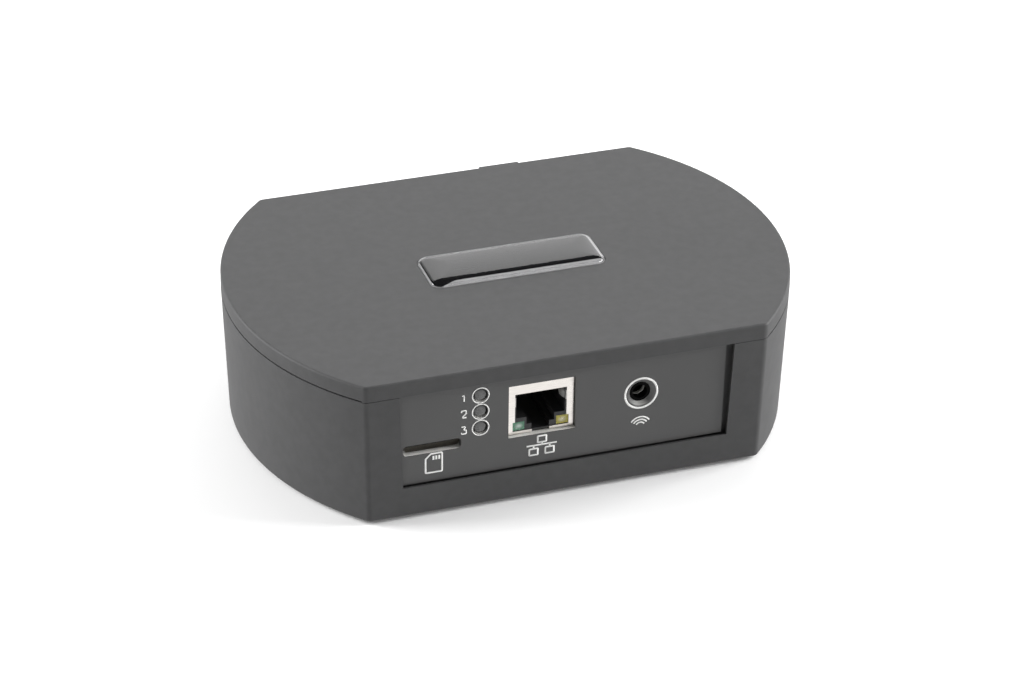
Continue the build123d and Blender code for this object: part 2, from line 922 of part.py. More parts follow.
def make_infrared_body():
    """The jack for the infrared eye: a block with a round bush and a blind bore."""
    z = board_z + infrared_lift
    front = depth_y(FRONT, plate_back + holder_set_back)
    back = front + infrared_length
    top = z + infrared_top_wall
    mouth = depth_y(FRONT, panel_recess + infrared_bush_set_back)
    body = block(around(infrared_x, infrared_width), (front, back), (board_z, top))
    body += barrel(infrared_x, (mouth, front), z, infrared_bush_radius)
    body -= barrel(infrared_x, (mouth, mouth + infrared_depth), z, infrared_bore)
    leaf_x = infrared_width / 2 - spring_leaf
    leaf_z = around(z, spring_leaf_width)
    leaf_y = (back - spring_leaf_length, back)
    for side_x in (-1, 1):
        ends = (infrared_x + side_x * leaf_x, infrared_x + side_x * infrared_width / 2)
        body -= block(ends, leaf_y, leaf_z)
        body -= block(ends, (back - spring_leaf_width, back), (board_z, z))
    return body


def make_infrared_contacts():
    """The jack's two side springs, each with a leg down to the board."""
    z = board_z + infrared_lift
    back = depth_y(FRONT, plate_back + holder_set_back) + infrared_length
    leaf_x = infrared_width / 2 - spring_leaf
    leaves = []
    for side_x in (-1, 1):
        ends = (infrared_x + side_x * leaf_x, infrared_x + side_x * infrared_width / 2)
        leaf = block(ends, (back - spring_leaf_length, back), around(z, spring_leaf_width))
        leaf += block(ends, (back - spring_leaf_width, back), (board_z, z))
        leaves.append(leaf)
    return leaves


def make_power_body():
    """The power inlet: a block with a round nose in the rear panel and a stepped bore."""
    z = board_z + power_lift
    face = depth_y(REAR, plate_back + holder_set_back)
    nose = face + power_nose
    body_z = (board_z, z + power_top_wall)
    body = block(around(power_x, power_width), (face - power_length, face), body_z)
    body += barrel(power_x, (face, nose), z, power_nose_radius)
    body -= barrel(power_x, (nose - power_bore_depth, nose), z, power_bore)
    return body


def make_power_pin():
    """The centre pin of the power inlet, with a rounded tip."""
    z = board_z + power_lift
    nose = depth_y(REAR, plate_back + holder_set_back) + power_nose
    root = nose - power_bore_depth
    pin = barrel(power_x, (root, root + power_pin_length - power_pin_radius), z, power_pin_radius)
    return pin + Pos(power_x, root + power_pin_length - power_pin_radius, z) * Sphere(power_pin_radius)


def make_line_block():
    """The moulded block of both line inputs, with a round collar in each panel hole."""
    face = depth_y(REAR, plate_back + holder_set_back)
    z = (board_z, board_z + line_lift + line_block_top)
    body = block((line_block_low, line_block_high), (face - line_block_depth, face), z)
    for x in line_x:
        body += barrel(x, (face, depth_y(REAR, panel_recess)), board_z + line_lift, line_collar_radius)
    return body


def line_mouth():
    """The y of the open end of each line input's shell."""
    return depth_y(REAR, panel_recess) + line_reach


def make_line_shell(x):
    """The plated outer shell of one line input."""
    z = board_z + line_lift
    y = (depth_y(REAR, panel_recess), line_mouth())
    shell = barrel(x, y, z, line_shell_radius)
    return shell - barrel(x, y, z, line_shell_radius - line_shell_wall)


def make_line_insert(x):
    """The coloured insulator inside one line input's shell."""
    z = board_z + line_lift
    y = (depth_y(REAR, panel_recess), line_mouth() - line_insert_recess)
    insert = barrel(x, y, z, line_shell_radius - line_shell_wall)
    return insert - barrel(x, y, z, line_centre_radius)


def make_line_centre(x):
    """The tube in the middle of one line input that takes the plug's pin."""
    z = board_z + line_lift
    root = depth_y(REAR, panel_recess)
    tip = line_mouth() - line_centre_recess
    tube = barrel(x, (root, tip), z, line_centre_radius)
    return tube - barrel(x, (root + line_shell_wall, tip), z, line_centre_bore)


def optical_face():
    """The y of the optical input's outer face."""
    return depth_y(REAR, panel_recess + optical_set_back)


def port_z():
    """The lowest and highest edges of the optical port."""
    return (board_z + port_lift, board_z + port_lift + port_height)


def shutter_axis():
    """The y and z of the shutter's hinge."""
    return (optical_face() - shutter_axis_back, port_z()[1] - shutter_axis_drop)


def make_optical_body():
    """The optical input's housing: a square port, a pocket and the hinge's bearings."""
    face = optical_face()
    root = face - optical_length
    top = board_z + optical_height
    body = block(around(optical_x, optical_width), (root, face), (board_z, top))
    body -= block(around(optical_x, port_width), (face - port_depth, face), port_z())
    y, z = shutter_axis()
    reach = port_width / 2 + pivot_length
    bearing = Rot(0, 90, 0) * Cylinder(pivot_radius + pivot_play, 2 * reach)
    body -= Pos(optical_x, y, z) * bearing
    return body


def make_optical_receiver():
    """The clear light receiver at the back of the port, with its small lens."""
    z = sum(port_z()) / 2
    back = optical_face() - port_depth
    cell_y = (back, back + receiver_depth)
    cell = block(around(optical_x, receiver_width), cell_y, around(z, receiver_width))
    lens = Pos(optical_x, back + receiver_depth, z) * Sphere(receiver_lens)
    return cell + lens


def make_shutter():
    """The flap that closes the port and swings up and in when a plug pushes it."""
    y, z = shutter_axis()
    half_width = port_width / 2 - shutter_play
    low = port_z()[0] + shutter_play
    flap_y = around(y, shutter_thickness)
    flap = block((optical_x - half_width, optical_x + half_width), flap_y, (low, z))
    knuckle = Rot(0, 90, 0) * Cylinder(shutter_thickness / 2, 2 * half_width)
    flap += Pos(optical_x, y, z) * knuckle
    reach = port_width / 2 + pivot_length - shutter_play
    flap += Pos(optical_x, y, z) * (Rot(0, 90, 0) * Cylinder(pivot_radius, 2 * reach))
    return flap


def button_flange_y():
    """The rear and front faces of the button's flange, just inside the rear panel."""
    front = depth_y(REAR, plate_back) - button_flange_gap
    return (front - button_flange, front)


def switch_face():
    """The y of the switch body's outer face, clear of the pushed button."""
    return button_flange_y()[0] - button_travel - button_clear


def make_button():
    """The pairing button: round cap, flange behind the panel and stem into the switch."""
    z = board_z + button_lift
    flange = button_flange_y()
    tip = depth_y(REAR, panel_recess) + button_proud
    cap = barrel(button_x, (flange[1], tip), z, button_radius)
    cap = chamfer(cap.faces().sort_by(Axis.Y)[-1].edges(), button_bevel)
    cap += barrel(button_x, flange, z, button_flange_radius)
    stem = (flange[0] - button_stem_length, flange[0])
    return cap + barrel(button_x, stem, z, button_stem_radius)


def button_spring_span():
    """The y range of the spring between the switch's bore and the stem at rest."""
    stem_end = button_flange_y()[0] - button_stem_length
    return (stem_end - switch_bore_spare, stem_end)


def make_switch():
    """The switch body on the board, with the bore that guides the stem."""
    z = board_z + button_lift
    face = switch_face()
    body_z = (board_z, z + switch_top_wall)
    body = block(around(button_x, switch_width), (face - switch_length, face), body_z)
    bore = (button_spring_span()[0], face)
    return body - barrel(button_x, bore, z, button_stem_radius + button_stem_play)


def make_button_spring():
    """The spring that returns the pairing button."""
    z = board_z + button_lift
    low, high = button_spring_span()
    radius = button_stem_radius - 2 * button_spring_wire
    span = (low + button_stem_play, high - button_stem_play)
    return coil(button_x, z, span, radius, button_spring_wire, button_spring_turns)


def on_board(place, size, z=None):
    """A flat part laid on the board, or on height z."""
    low = board_z if z is None else z
    return block(around(place[0], size[0]), around(place[1], size[1]), (low, low + size[2]))


def make_heat_sink():
    """A finned heat sink stuck on the processor."""
    low = board_z + processor_height
    x, y = processor_place
    sink = on_board(processor_place, (processor_side, processor_side, sink_base), low)
    pitch = (processor_side - sink_fin) / (sink_fin_count - 1)
    for number in range(sink_fin_count):
        fin_x = x - processor_side / 2 + number * pitch
        fin_z = (low + sink_base, low + sink_base + sink_fin_height)
        sink += block((fin_x, fin_x + sink_fin), around(y, processor_side), fin_z)
    return sink


def make_memory():
    """Two memory chips behind the processor."""
    x, y = processor_place
    row_y = y + processor_side / 2 + memory_gap + memory_size[1] / 2
    step = (memory_size[0] + memory_gap) / 2
    return [on_board((x + side * step, row_y), memory_size) for side in (-1, 1)]


def make_converter():
    """The audio converter chip with its legs."""
    x, y = converter_place
    chip = on_board(converter_place, converter_size)
    leg_x = (converter_size[0] + converter_leg[0]) / 2
    for side in (-1, 1):
        for number in range(converter_leg_count):
            leg_y = y + (number - (converter_leg_count - 1) / 2) * converter_leg_pitch
            chip += on_board((x + side * leg_x, leg_y), converter_leg)
    return chip


def make_radio_can():
    """The screening can over the radio module, open below."""
    low = board_z + radio_size[2]
    can = on_board(radio_place, can_size, low)
    inside = (can_size[0] - 2 * can_sheet, can_size[1] - 2 * can_sheet, can_size[2] - can_sheet)
    return can - on_board(radio_place, inside, low)


def make_antenna():
    """A stamped antenna on edge: a long arm on a ground leg and a feed leg."""
    start, end = antenna_y
    top = board_z + antenna_height
    arm = top - antenna_arm
    leg = antenna_arm
    feed = start + leg + antenna_feed_gap
    points = [
        (start, board_z),
        (start, top),
        (end, top),
        (end, arm),
        (feed + leg, arm),
        (feed + leg, board_z),
        (feed, board_z),
        (feed, arm),
        (start + leg, arm),
        (start + leg, board_z),
    ]
    return side_profile(points, around(antenna_x, antenna_sheet))


def make_inductor():
    """The power inductor, a square block with cut corners."""
    coil_block = on_board(inductor_place, (inductor_side, inductor_side, inductor_height))
    return chamfer(coil_block.edges().filter_by(Axis.Z), inductor_chamfer)


def make_regulator():
    """The voltage regulator with its heat tab."""
    x, y = regulator_place
    tab_y = y + (regulator_size[1] + regulator_tab[1]) / 2
    return on_board(regulator_place, regulator_size) + on_board((x, tab_y), regulator_tab)


def make_capacitors():
    """Round capacitors, each on its square base."""
    cans = []
    for x, y in capacitor_places:
        side = 2 * capacitor_radius
        can = on_board((x, y), (side, side, capacitor_base))
        can += post(x, y, (board_z, board_z + capacitor_height), capacitor_radius)
        cans.append(can)
    return cans


def save(name, shape):
    """Moves one piece, or a group of alike pieces, to the part's origin and writes it."""
    solids = shape if isinstance(shape, list) else [shape]
    placed = [Pos(0, -origin_y, 0) * solid for solid in solids]
    whole = placed[0] if len(placed) == 1 else Compound(children=placed)
    whole.label = name
    export_step(whole, f"parts/{name}.step")


def main():
    os.makedirs("parts", exist_ok=True)

    save("base_shell", make_base())
    save("lid_shell", make_lid())
    save("badge_foil", make_badge_foil())
    save("badge_dome", make_badge_dome())
    save("front_panel", make_front_panel())
    save("rear_panel", make_rear_panel())
    save("case_screws", make_case_screws())
    save("board_screws", make_board_screws())
    for side_x, side_y in CORNERS:
        name = ("left" if side_x < 0 else "right", "front" if side_y < 0 else "rear")
        save(f"foot_{name[1]}_{name[0]}", make_foot(side_x, side_y))
    save("main_board", make_board())

    save("network_shield", make_network_shield())
    save("network_insert", make_network_insert())
    save("network_contacts", make_network_contacts())
    save("network_light_green", make_network_light(-1))
    save("network_light_yellow", make_network_light(1))

    save("light_holder", make_light_holder())
    for number, name in enumerate(("lower", "middle", "upper")):
        save(f"status_light_{name}", make_light(number))

    save("card_frame", make_card_frame())
    save("card_cover", make_card_cover())
    save("card_slider", make_card_slider())
    save("card_spring", make_card_spring())
    save("card_contacts", make_card_contacts())

    save("infrared_jack", make_infrared_body())
    save("infrared_contacts", make_infrared_contacts())

    save("power_inlet", make_power_body())
    save("power_pin", make_power_pin())

    save("line_block", make_line_block())
    for name, x in zip(("white", "red"), line_x):
        save(f"line_shell_{name}", make_line_shell(x))
        save(f"line_insert_{name}", make_line_insert(x))
        save(f"line_centre_{name}", make_line_centre(x))

    save("optical_input", make_optical_body())
    save("optical_receiver", make_optical_receiver())
    save("optical_shutter", make_shutter())

    save("pairing_button", make_button())
    save("button_switch", make_switch())
    save("button_spring", make_button_spring())

    processor_size = (processor_side, processor_side, processor_height)
    save("processor", on_board(processor_place, processor_size))
    save("heat_sink", make_heat_sink())
    save("memory_chips", make_memory())
    chip_size = (network_chip_side, network_chip_side, network_chip_height)
    save("network_chip", on_board(network_chip_place, chip_size))
    save("audio_converter", make_converter())
    save("radio_module", on_board(radio_place, radio_size))
    save("radio_can", make_radio_can())
    save("antenna", make_antenna())
    save("crystal", on_board(crystal_place, crystal_size))
    save("power_inductor", make_inductor())
    save("regulator", make_regulator())
    save("capacitors", make_capacitors())


main()
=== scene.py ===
# %% [markdown]
# # A desk-top wireless audio transmitter
#
# The object is a shallow moulded case with bowed sides, about 137 mm wide, standing on four
# rubber feet. A flat panel sits in a window in its front wall and carries a card slot, three
# status lights, a network jack and a small round jack. A domed badge is set into the lid.
#
# Its solid parts come from the CAD model. This lesson gives each of them a finish, adds what
# is too fine for the solids, such as printing a few hundredths of a millimetre thick, and sets
# up a small white studio around it.

# %% Load the solids
import json
import math

import bmesh
import bpy
from mathutils import Matrix, Vector


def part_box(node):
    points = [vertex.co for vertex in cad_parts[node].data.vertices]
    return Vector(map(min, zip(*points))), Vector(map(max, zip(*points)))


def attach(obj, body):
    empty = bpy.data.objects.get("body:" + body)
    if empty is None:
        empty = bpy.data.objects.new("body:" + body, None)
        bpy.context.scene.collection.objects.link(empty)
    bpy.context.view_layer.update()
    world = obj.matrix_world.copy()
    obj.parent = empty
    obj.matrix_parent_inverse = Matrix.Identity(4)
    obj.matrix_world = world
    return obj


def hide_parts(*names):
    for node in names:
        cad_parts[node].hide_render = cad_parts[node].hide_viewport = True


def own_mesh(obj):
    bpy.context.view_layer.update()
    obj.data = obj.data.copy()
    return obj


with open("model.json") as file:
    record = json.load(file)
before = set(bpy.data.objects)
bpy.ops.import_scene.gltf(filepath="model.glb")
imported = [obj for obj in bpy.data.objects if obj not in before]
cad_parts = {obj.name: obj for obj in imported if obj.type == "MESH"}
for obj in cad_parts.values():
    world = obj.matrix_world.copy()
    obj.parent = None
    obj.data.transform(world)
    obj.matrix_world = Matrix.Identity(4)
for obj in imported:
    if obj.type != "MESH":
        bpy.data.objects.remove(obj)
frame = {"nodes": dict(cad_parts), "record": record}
nodes = frame["nodes"]
mounts = {mount["name"]: mount for mount in frame["record"]["mounts"]}
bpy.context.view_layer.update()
MM = 0.001
BODY = "case"

# %% [markdown]
# ## The camera
#
# The photograph was taken with a long lens from the left, looking down on the lid. A long lens
# keeps the sides of the case nearly parallel, and with a short one they would splay. The
# place is worked out on a sphere round the case: a turn, a rise, a small roll and a distance,
# and then a shift of the aim, so that the case sits in the frame where it does in the photograph.

# %% Camera
CAMERA_TURN = math.radians(-18.70)
CAMERA_RISE = math.radians(30.706)
CAMERA_ROLL = math.radians(0.778)
CAMERA_DISTANCE = 828.06 * MM
CAMERA_AIM = Vector((1.939, 11.949)) * MM
CAMERA_LENS = 118.325
CASE_MIDDLE = Vector((0.0, -4.1, 0.7)) * MM


def photograph_camera():
    """Makes the camera at the photograph's place, with the same lens and roll."""
    back = Vector(
        (
            math.sin(CAMERA_TURN) * math.cos(CAMERA_RISE),
            -math.cos(CAMERA_TURN) * math.cos(CAMERA_RISE),
            math.sin(CAMERA_RISE),
        )
    )
    level = Vector((0, 0, 1)).cross(back).normalized()
    upright = back.cross(level)
    right = math.cos(CAMERA_ROLL) * level + math.sin(CAMERA_ROLL) * upright
    up = math.cos(CAMERA_ROLL) * upright - math.sin(CAMERA_ROLL) * level
    place = CASE_MIDDLE + back * CAMERA_DISTANCE + right * CAMERA_AIM.x + up * CAMERA_AIM.y
    data = bpy.data.cameras.new("photograph_camera")
    data.lens = CAMERA_LENS
    data.sensor_width = 36.0
    data.clip_start = 0.05
    camera = bpy.data.objects.new("photograph_camera", data)
    camera.matrix_world = Matrix.Translation(place) @ Matrix((right, up, back)).transposed().to_4x4()
    bpy.context.scene.collection.objects.link(camera)
    bpy.context.scene.camera = camera
    return camera


camera = photograph_camera()
print("camera at", [round(value, 3) for value in camera.matrix_world.translation])

# %% [markdown]
# ## A white studio
#
# The case was photographed on a white sweep, exposed so that the open paper is nearly white and
# a soft shadow is left close to the case. The floor here is a plain plane. Seen by the camera,
# its paper is whiter than real paper and glows a little, which is that exposure. Mirrors and
# glass see it as evenly white, like the room, and the light that it sends back up to the case
# is a real paper's. Light Path tells these rays apart. Far from the case, where the lamps no
# longer reach, the paper fades into the white room, so a low view has no grey horizon.
#
# Product photographers hang a black card, a flag, where a curved gloss needs a dark line. One
# hangs here over the case, and the badge's resin shows it as the dark band along its front.
# Another stands behind on the left, for the dark left end of the badge.

# %% Studio
WHITE = (1.0, 1.0, 1.0, 1.0)
FLOOR_WHITE = (0.80, 0.80, 0.80, 1.0)
FLOOR_SHOWN = (0.93, 0.93, 0.93, 1.0)
FLOOR_GLOW = 0.06
PAPER_NEAR = 0.45
PAPER_FAR = 0.90
ROOM_GREY = (0.30, 0.30, 0.30, 1.0)
ROOM_SIZE = 6.0
FLAG_HEIGHT = 0.9
FLAG_FRONT = -1.6
FLAG_BACK = 0.92
FLAG_LEFT = -4.0
FLAG_RIGHT = 1.5
SIDE_FLAG_START = (-0.45, 1.15)
SIDE_FLAG_END = (-1.6, 0.2)
SIDE_FLAG_LOW = 0.15
FLAG_BLACK = (0.01, 0.01, 0.01, 1.0)


def node(tree, kind, inputs=None, **settings):
    """Adds a node to a tree, with its properties and its own unlinked inputs."""
    made = tree.nodes.new(kind)
    for name, value in settings.items():
        setattr(made, name, value)
    for name, value in (inputs or {}).items():
        made.inputs[name].default_value = value
    return made


def arithmetic(tree, operation, *values, kind="ShaderNodeMath"):
    """One step of arithmetic, on values that are sockets or plain numbers."""
    step = node(tree, kind, operation=operation)
    for slot, value in zip(step.inputs, values):
        if isinstance(value, bpy.types.NodeSocket):
            tree.links.new(value, slot)
        else:
            slot.default_value = value
    return step.outputs["Value" if operation == "LENGTH" else 0]


def on_vectors(tree, operation, *values):
    """One step of arithmetic on vectors."""
    return arithmetic(tree, operation, *values, kind="ShaderNodeVectorMath")


def either(tree, first, second):
    """The larger of two factors."""
    return arithmetic(tree, "MAXIMUM", first, second)


def mixed(tree, factor, first, second):
    """Two shaders mixed by a factor."""
    made = node(tree, "ShaderNodeMixShader")
    tree.links.new(factor, made.inputs[0])
    tree.links.new(first.outputs[0], made.inputs[1])
    tree.links.new(second.outputs[0], made.inputs[2])
    return made


print("floor seen as", FLOOR_SHOWN[0], "and lit as", FLOOR_WHITE[0])


# %% Room and floor
def make_world():
    """A dim grey room that looks white to the camera, to metal and to glass."""
    world = bpy.data.worlds.new("studio")
    world.use_nodes = True
    tree = world.node_tree
    tree.nodes.clear()
    path = node(tree, "ShaderNodeLightPath").outputs
    mirrored = either(tree, path["Is Glossy Ray"], path["Is Transmission Ray"])
    seen = either(tree, path["Is Camera Ray"], mirrored)
    light = node(tree, "ShaderNodeBackground", {"Color": ROOM_GREY, "Strength": 1.0})
    shown = node(tree, "ShaderNodeBackground", {"Color": WHITE, "Strength": 1.0})
    out = node(tree, "ShaderNodeOutputWorld")
    tree.links.new(mixed(tree, seen, light, shown).outputs[0], out.inputs["Surface"])
    bpy.context.scene.world = world


def floor_material():
    """White paper, which looks brighter when it is seen than it is as a source of light."""
    material = bpy.data.materials.new("studio_floor")
    material.use_nodes = True
    tree = material.node_tree
    tree.nodes.clear()
    path = node(tree, "ShaderNodeLightPath").outputs
    mirrored = either(tree, path["Is Glossy Ray"], path["Is Transmission Ray"])
    paper = node(tree, "ShaderNodeBsdfDiffuse", {"Color": FLOOR_WHITE})
    in_mirrors = node(tree, "ShaderNodeEmission", {"Color": WHITE, "Strength": 1.0})
    lit = node(tree, "ShaderNodeBsdfDiffuse", {"Color": FLOOR_SHOWN})
    glow = node(tree, "ShaderNodeEmission", {"Color": WHITE, "Strength": FLOOR_GLOW})
    shown = node(tree, "ShaderNodeAddShader")
    tree.links.new(lit.outputs[0], shown.inputs[0])
    tree.links.new(glow.outputs[0], shown.inputs[1])
    spot = node(tree, "ShaderNodeNewGeometry")
    distance = on_vectors(tree, "LENGTH", spot.outputs["Position"])
    far = node(tree, "ShaderNodeMapRange", {"From Min": PAPER_NEAR, "From Max": PAPER_FAR})
    tree.links.new(distance, far.inputs["Value"])
    faded = mixed(tree, far.outputs["Result"], shown, in_mirrors)
    out = node(tree, "ShaderNodeOutputMaterial")
    unseen = mixed(tree, mirrored, paper, in_mirrors)
    seen = mixed(tree, path["Is Camera Ray"], unseen, faded)
    tree.links.new(seen.outputs[0], out.inputs["Surface"])
    return material


def mesh_object(name, points, faces):
    """A new mesh object at the origin, with its place in its mesh."""
    mesh = bpy.data.meshes.new(name)
    mesh.from_pydata([tuple(point) for point in points], [], faces)
    made = bpy.data.objects.new(name, mesh)
    bpy.context.scene.collection.objects.link(made)
    return made


def make_floor():
    """The floor under the feet."""
    half = ROOM_SIZE / 2
    corners = [(-half, -half, 0), (half, -half, 0), (half, half, 0), (-half, half, 0)]
    floor = mesh_object("studio_floor", corners, [(0, 1, 2, 3)])
    floor.data.materials.append(floor_material())


make_world()
make_floor()
print("floor:", ROOM_SIZE, "m wide, white beyond", PAPER_FAR, "m")


# %% Flags
def make_flags():
    """Black cards over the case and behind it to the left, seen by nothing but its gloss."""
    corners = [(FLAG_LEFT, FLAG_FRONT, FLAG_HEIGHT), (FLAG_LEFT, FLAG_BACK, FLAG_HEIGHT)]
    corners += [(FLAG_RIGHT, FLAG_BACK, FLAG_HEIGHT), (FLAG_RIGHT, FLAG_FRONT, FLAG_HEIGHT)]
    corners += [(*SIDE_FLAG_START, SIDE_FLAG_LOW), (*SIDE_FLAG_END, SIDE_FLAG_LOW)]
    corners += [(*SIDE_FLAG_END, FLAG_HEIGHT), (*SIDE_FLAG_START, FLAG_HEIGHT)]
    flag = mesh_object("studio_flag", corners, [(0, 1, 2, 3), (4, 5, 6, 7)])
    material = bpy.data.materials.new("studio_flag")
    material.use_nodes = True
    shader = material.node_tree.nodes["Principled BSDF"]
    shader.inputs["Base Color"].default_value = FLAG_BLACK
    shader.inputs["Roughness"].default_value = 1.0
    flag.data.materials.append(material)
    flag.visible_camera = False
    flag.visible_diffuse = False
    flag.visible_shadow = False
    flag.visible_transmission = False


make_flags()
print("flag over the case:", FLAG_RIGHT - FLAG_LEFT, "m wide")

# %% [markdown]
# ## Soft boxes
#
# A large lamp behind the case gives the lid and the badge their even sheen, because the camera
# sees that lamp's reflection at a flat angle, and a weaker one hangs overhead. Two smaller and
# stronger lamps at the sides brighten the bowed walls, and the right one stands further forward.
# The front gets the least light, as it does in the photograph. Lamps are hidden from the camera,
# so that other views stay clear.

# %% Lamps
TARGET = Vector((0.0, 0.0, 0.02))
SOFT_BOXES = {
    "overhead": {"place": (0.10, 0.35, 1.40), "size": (1.5, 1.1), "power": 3.0},
    "behind": {"place": (0.45, 1.37, 0.74), "size": (1.5, 1.05), "power": 6.3},
    "left": {"place": (-1.10, 0.55, 0.55), "size": (0.8, 0.8), "power": 26.5},
    "right": {"place": (1.10, -0.15, 0.55), "size": (0.8, 0.8), "power": 25.0},
}


def soft_box(name, place, size, power):
    """A rectangular lamp that faces the case."""
    data = bpy.data.lights.new(f"soft_box_{name}", "AREA")
    data.shape = "RECTANGLE"
    data.size, data.size_y = size
    data.energy = power
    lamp = bpy.data.objects.new(f"soft_box_{name}", data)
    lamp.location = place
    lamp.rotation_mode = "QUATERNION"
    lamp.rotation_quaternion = (TARGET - Vector(place)).to_track_quat("-Z", "Y")
    lamp.visible_camera = False
    bpy.context.scene.collection.objects.link(lamp)


for name, facts in SOFT_BOXES.items():
    soft_box(name, **facts)
bpy.context.scene.view_settings.view_transform = "Standard"
print("soft boxes:", len(SOFT_BOXES))

# %% [markdown]
# ## Finishes
#
# Every finish is made from noise on the piece's own coordinates. A moulded plastic has a tone
# that wanders a little over centimetres, a gloss that does the same, and a fine grain from the
# etched mould, a few tenths of a millimetre across. A brushed metal uses the same noise pulled
# out into streaks. One helper makes the noise, one turns it into two tones, and one into relief.
# Blender's noise seldom leaves the middle of its range, so the helpers stretch that middle.

# %% Helpers for finishes
NOISE_LOW, NOISE_HIGH = 0.35, 0.65


def new_finish(name):
    """An empty principled material, with its tree, its shader and the piece's coordinates."""
    material = bpy.data.materials.new(name)
    material.use_nodes = True
    tree = material.node_tree
    coordinates = node(tree, "ShaderNodeTexCoord")
    return material, tree, tree.nodes["Principled BSDF"], coordinates.outputs["Object"]


def noise(tree, place, size, detail=2.0, stretch=(1.0, 1.0, 1.0)):
    """Noise whose features are about size metres across, and longer along a stretched axis."""
    mapping = node(tree, "ShaderNodeMapping")
    mapping.inputs["Scale"].default_value = [1 / (size * pull) for pull in stretch]
    texture = node(tree, "ShaderNodeTexNoise", {"Scale": 1.0, "Detail": detail})
    tree.links.new(place, mapping.inputs["Vector"])
    tree.links.new(mapping.outputs["Vector"], texture.inputs["Vector"])
    return texture.outputs["Fac"]


def tones(tree, factor, low, high, start=NOISE_LOW, end=NOISE_HIGH):
    """A colour that goes from low to high as the factor goes from start to end."""
    ramp = node(tree, "ShaderNodeValToRGB")
    ramp.color_ramp.elements[0].position = start
    ramp.color_ramp.elements[0].color = (*low, 1.0)
    ramp.color_ramp.elements[1].position = end
    ramp.color_ramp.elements[1].color = (*high, 1.0)
    tree.links.new(factor, ramp.inputs["Fac"])
    return ramp.outputs["Color"]


def level(tree, factor, low, high, start=NOISE_LOW, end=NOISE_HIGH):
    """A number that goes from low to high as the factor goes from start to end."""
    span = node(tree, "ShaderNodeMapRange", {"From Min": start, "From Max": end})
    span.inputs["To Min"].default_value = low
    span.inputs["To Max"].default_value = high
    tree.links.new(factor, span.inputs["Value"])
    return span.outputs["Result"]


def relief(tree, shader, height, depth):
    """Turns a height into small bumps, depth metres deep."""
    bump = node(tree, "ShaderNodeBump", {"Strength": 1.0, "Distance": depth})
    tree.links.new(height, bump.inputs["Height"])
    tree.links.new(bump.outputs["Normal"], shader.inputs["Normal"])


def split(tree, vector):
    """The three numbers of a vector."""
    parts = node(tree, "ShaderNodeSeparateXYZ")
    tree.links.new(vector, parts.inputs["Vector"])
    return parts.outputs


def two_colours(tree, factor, first, second):
    """One colour where a factor is 0 and another where it is 1."""
    mix = node(tree, "ShaderNodeMix", data_type="RGBA")
    tree.links.new(factor, mix.inputs["Factor"])
    tree.links.new(first, mix.inputs["A"])
    tree.links.new(second, mix.inputs["B"])
    return next(socket for socket in mix.outputs if socket.type == "RGBA")


def shade(colour, change):
    """The same colour, darker or lighter by a share."""
    return tuple(min(1.0, channel * (1 + change)) for channel in colour)


print("noise is used from", NOISE_LOW, "to", NOISE_HIGH)

# %% [markdown]
# ## Moulded, brushed and clear finishes
#
# Three recipes cover most of the pieces. Their pieces differ in colour, gloss and the size of
# the grain, so each recipe is a function of those, and a table gives the numbers. The network
# jack's two light windows are clear plastic as well. Their colour is palest in the middle, a
# painted highlight, and darker towards their edges, a painted shade.

# %% Recipes
CLOUD = 18 * MM
PLATING_CLOUD = 3 * MM
SWIRL = 2.5 * MM
RESIN_BENDING = 1.5
SHADOW_TINT = (0.9, 0.9, 0.9, 1.0)


def moulded(
    name, colour, roughness, grain=0.3 * MM, depth=0.01 * MM, patch=CLOUD, change=0.06, drift=0.04, shine=0.5
):
    """Moulded plastic, rubber or paint: slow drift in tone and gloss, and a fine grain."""
    material, tree, shader, place = new_finish(name)
    shader.inputs["Specular IOR Level"].default_value = shine
    cloud = noise(tree, place, patch, detail=6.0)
    colours = tones(tree, cloud, shade(colour, -change), shade(colour, change))
    tree.links.new(colours, shader.inputs["Base Color"])
    gloss = level(tree, noise(tree, place, CLOUD / 3), roughness - drift, roughness + drift)
    tree.links.new(gloss, shader.inputs["Roughness"])
    relief(tree, shader, noise(tree, place, grain, detail=3.0), depth)
    return material


def brushed(name, colour, roughness, stretch=(40.0, 1.0, 1.0), line=0.08 * MM, depth=0.004 * MM):
    """Rolled or plated metal, with fine lines along its longest stretch."""
    material, tree, shader, place = new_finish(name)
    shader.inputs["Metallic"].default_value = 1.0
    lines = noise(tree, place, line, detail=4.0, stretch=stretch)
    colours = tones(tree, lines, shade(colour, -0.08), shade(colour, 0.05))
    tree.links.new(colours, shader.inputs["Base Color"])
    gloss = level(tree, noise(tree, place, PLATING_CLOUD), roughness - 0.05, roughness + 0.08)
    tree.links.new(gloss, shader.inputs["Roughness"])
    relief(tree, shader, lines, depth)
    return material


def let_lamps_through(tree, shader):
    """Makes a clear piece cast no shadow, so that the lamps light what lies under it."""
    path = node(tree, "ShaderNodeLightPath").outputs
    open_air = node(tree, "ShaderNodeBsdfTransparent", {"Color": SHADOW_TINT})
    both = mixed(tree, path["Is Shadow Ray"], shader, open_air)
    tree.links.new(both.outputs[0], tree.nodes["Material Output"].inputs["Surface"])


def clear(name, colour, roughness, passes=1.0):
    """Clear resin or plastic, with the faint unevenness of a casting."""
    material, tree, shader, place = new_finish(name)
    shader.inputs["Transmission Weight"].default_value = passes
    shader.inputs["IOR"].default_value = RESIN_BENDING
    swirl = noise(tree, place, SWIRL)
    colours = tones(tree, swirl, shade(colour, -0.03), shade(colour, 0.02))
    tree.links.new(colours, shader.inputs["Base Color"])
    gloss = level(tree, swirl, roughness, roughness + 0.03)
    tree.links.new(gloss, shader.inputs["Roughness"])
    relief(tree, shader, swirl, depth=0.0005 * MM)
    let_lamps_through(tree, shader)
    return material


print("recipes:", [recipe.__name__ for recipe in (moulded, brushed, clear)])

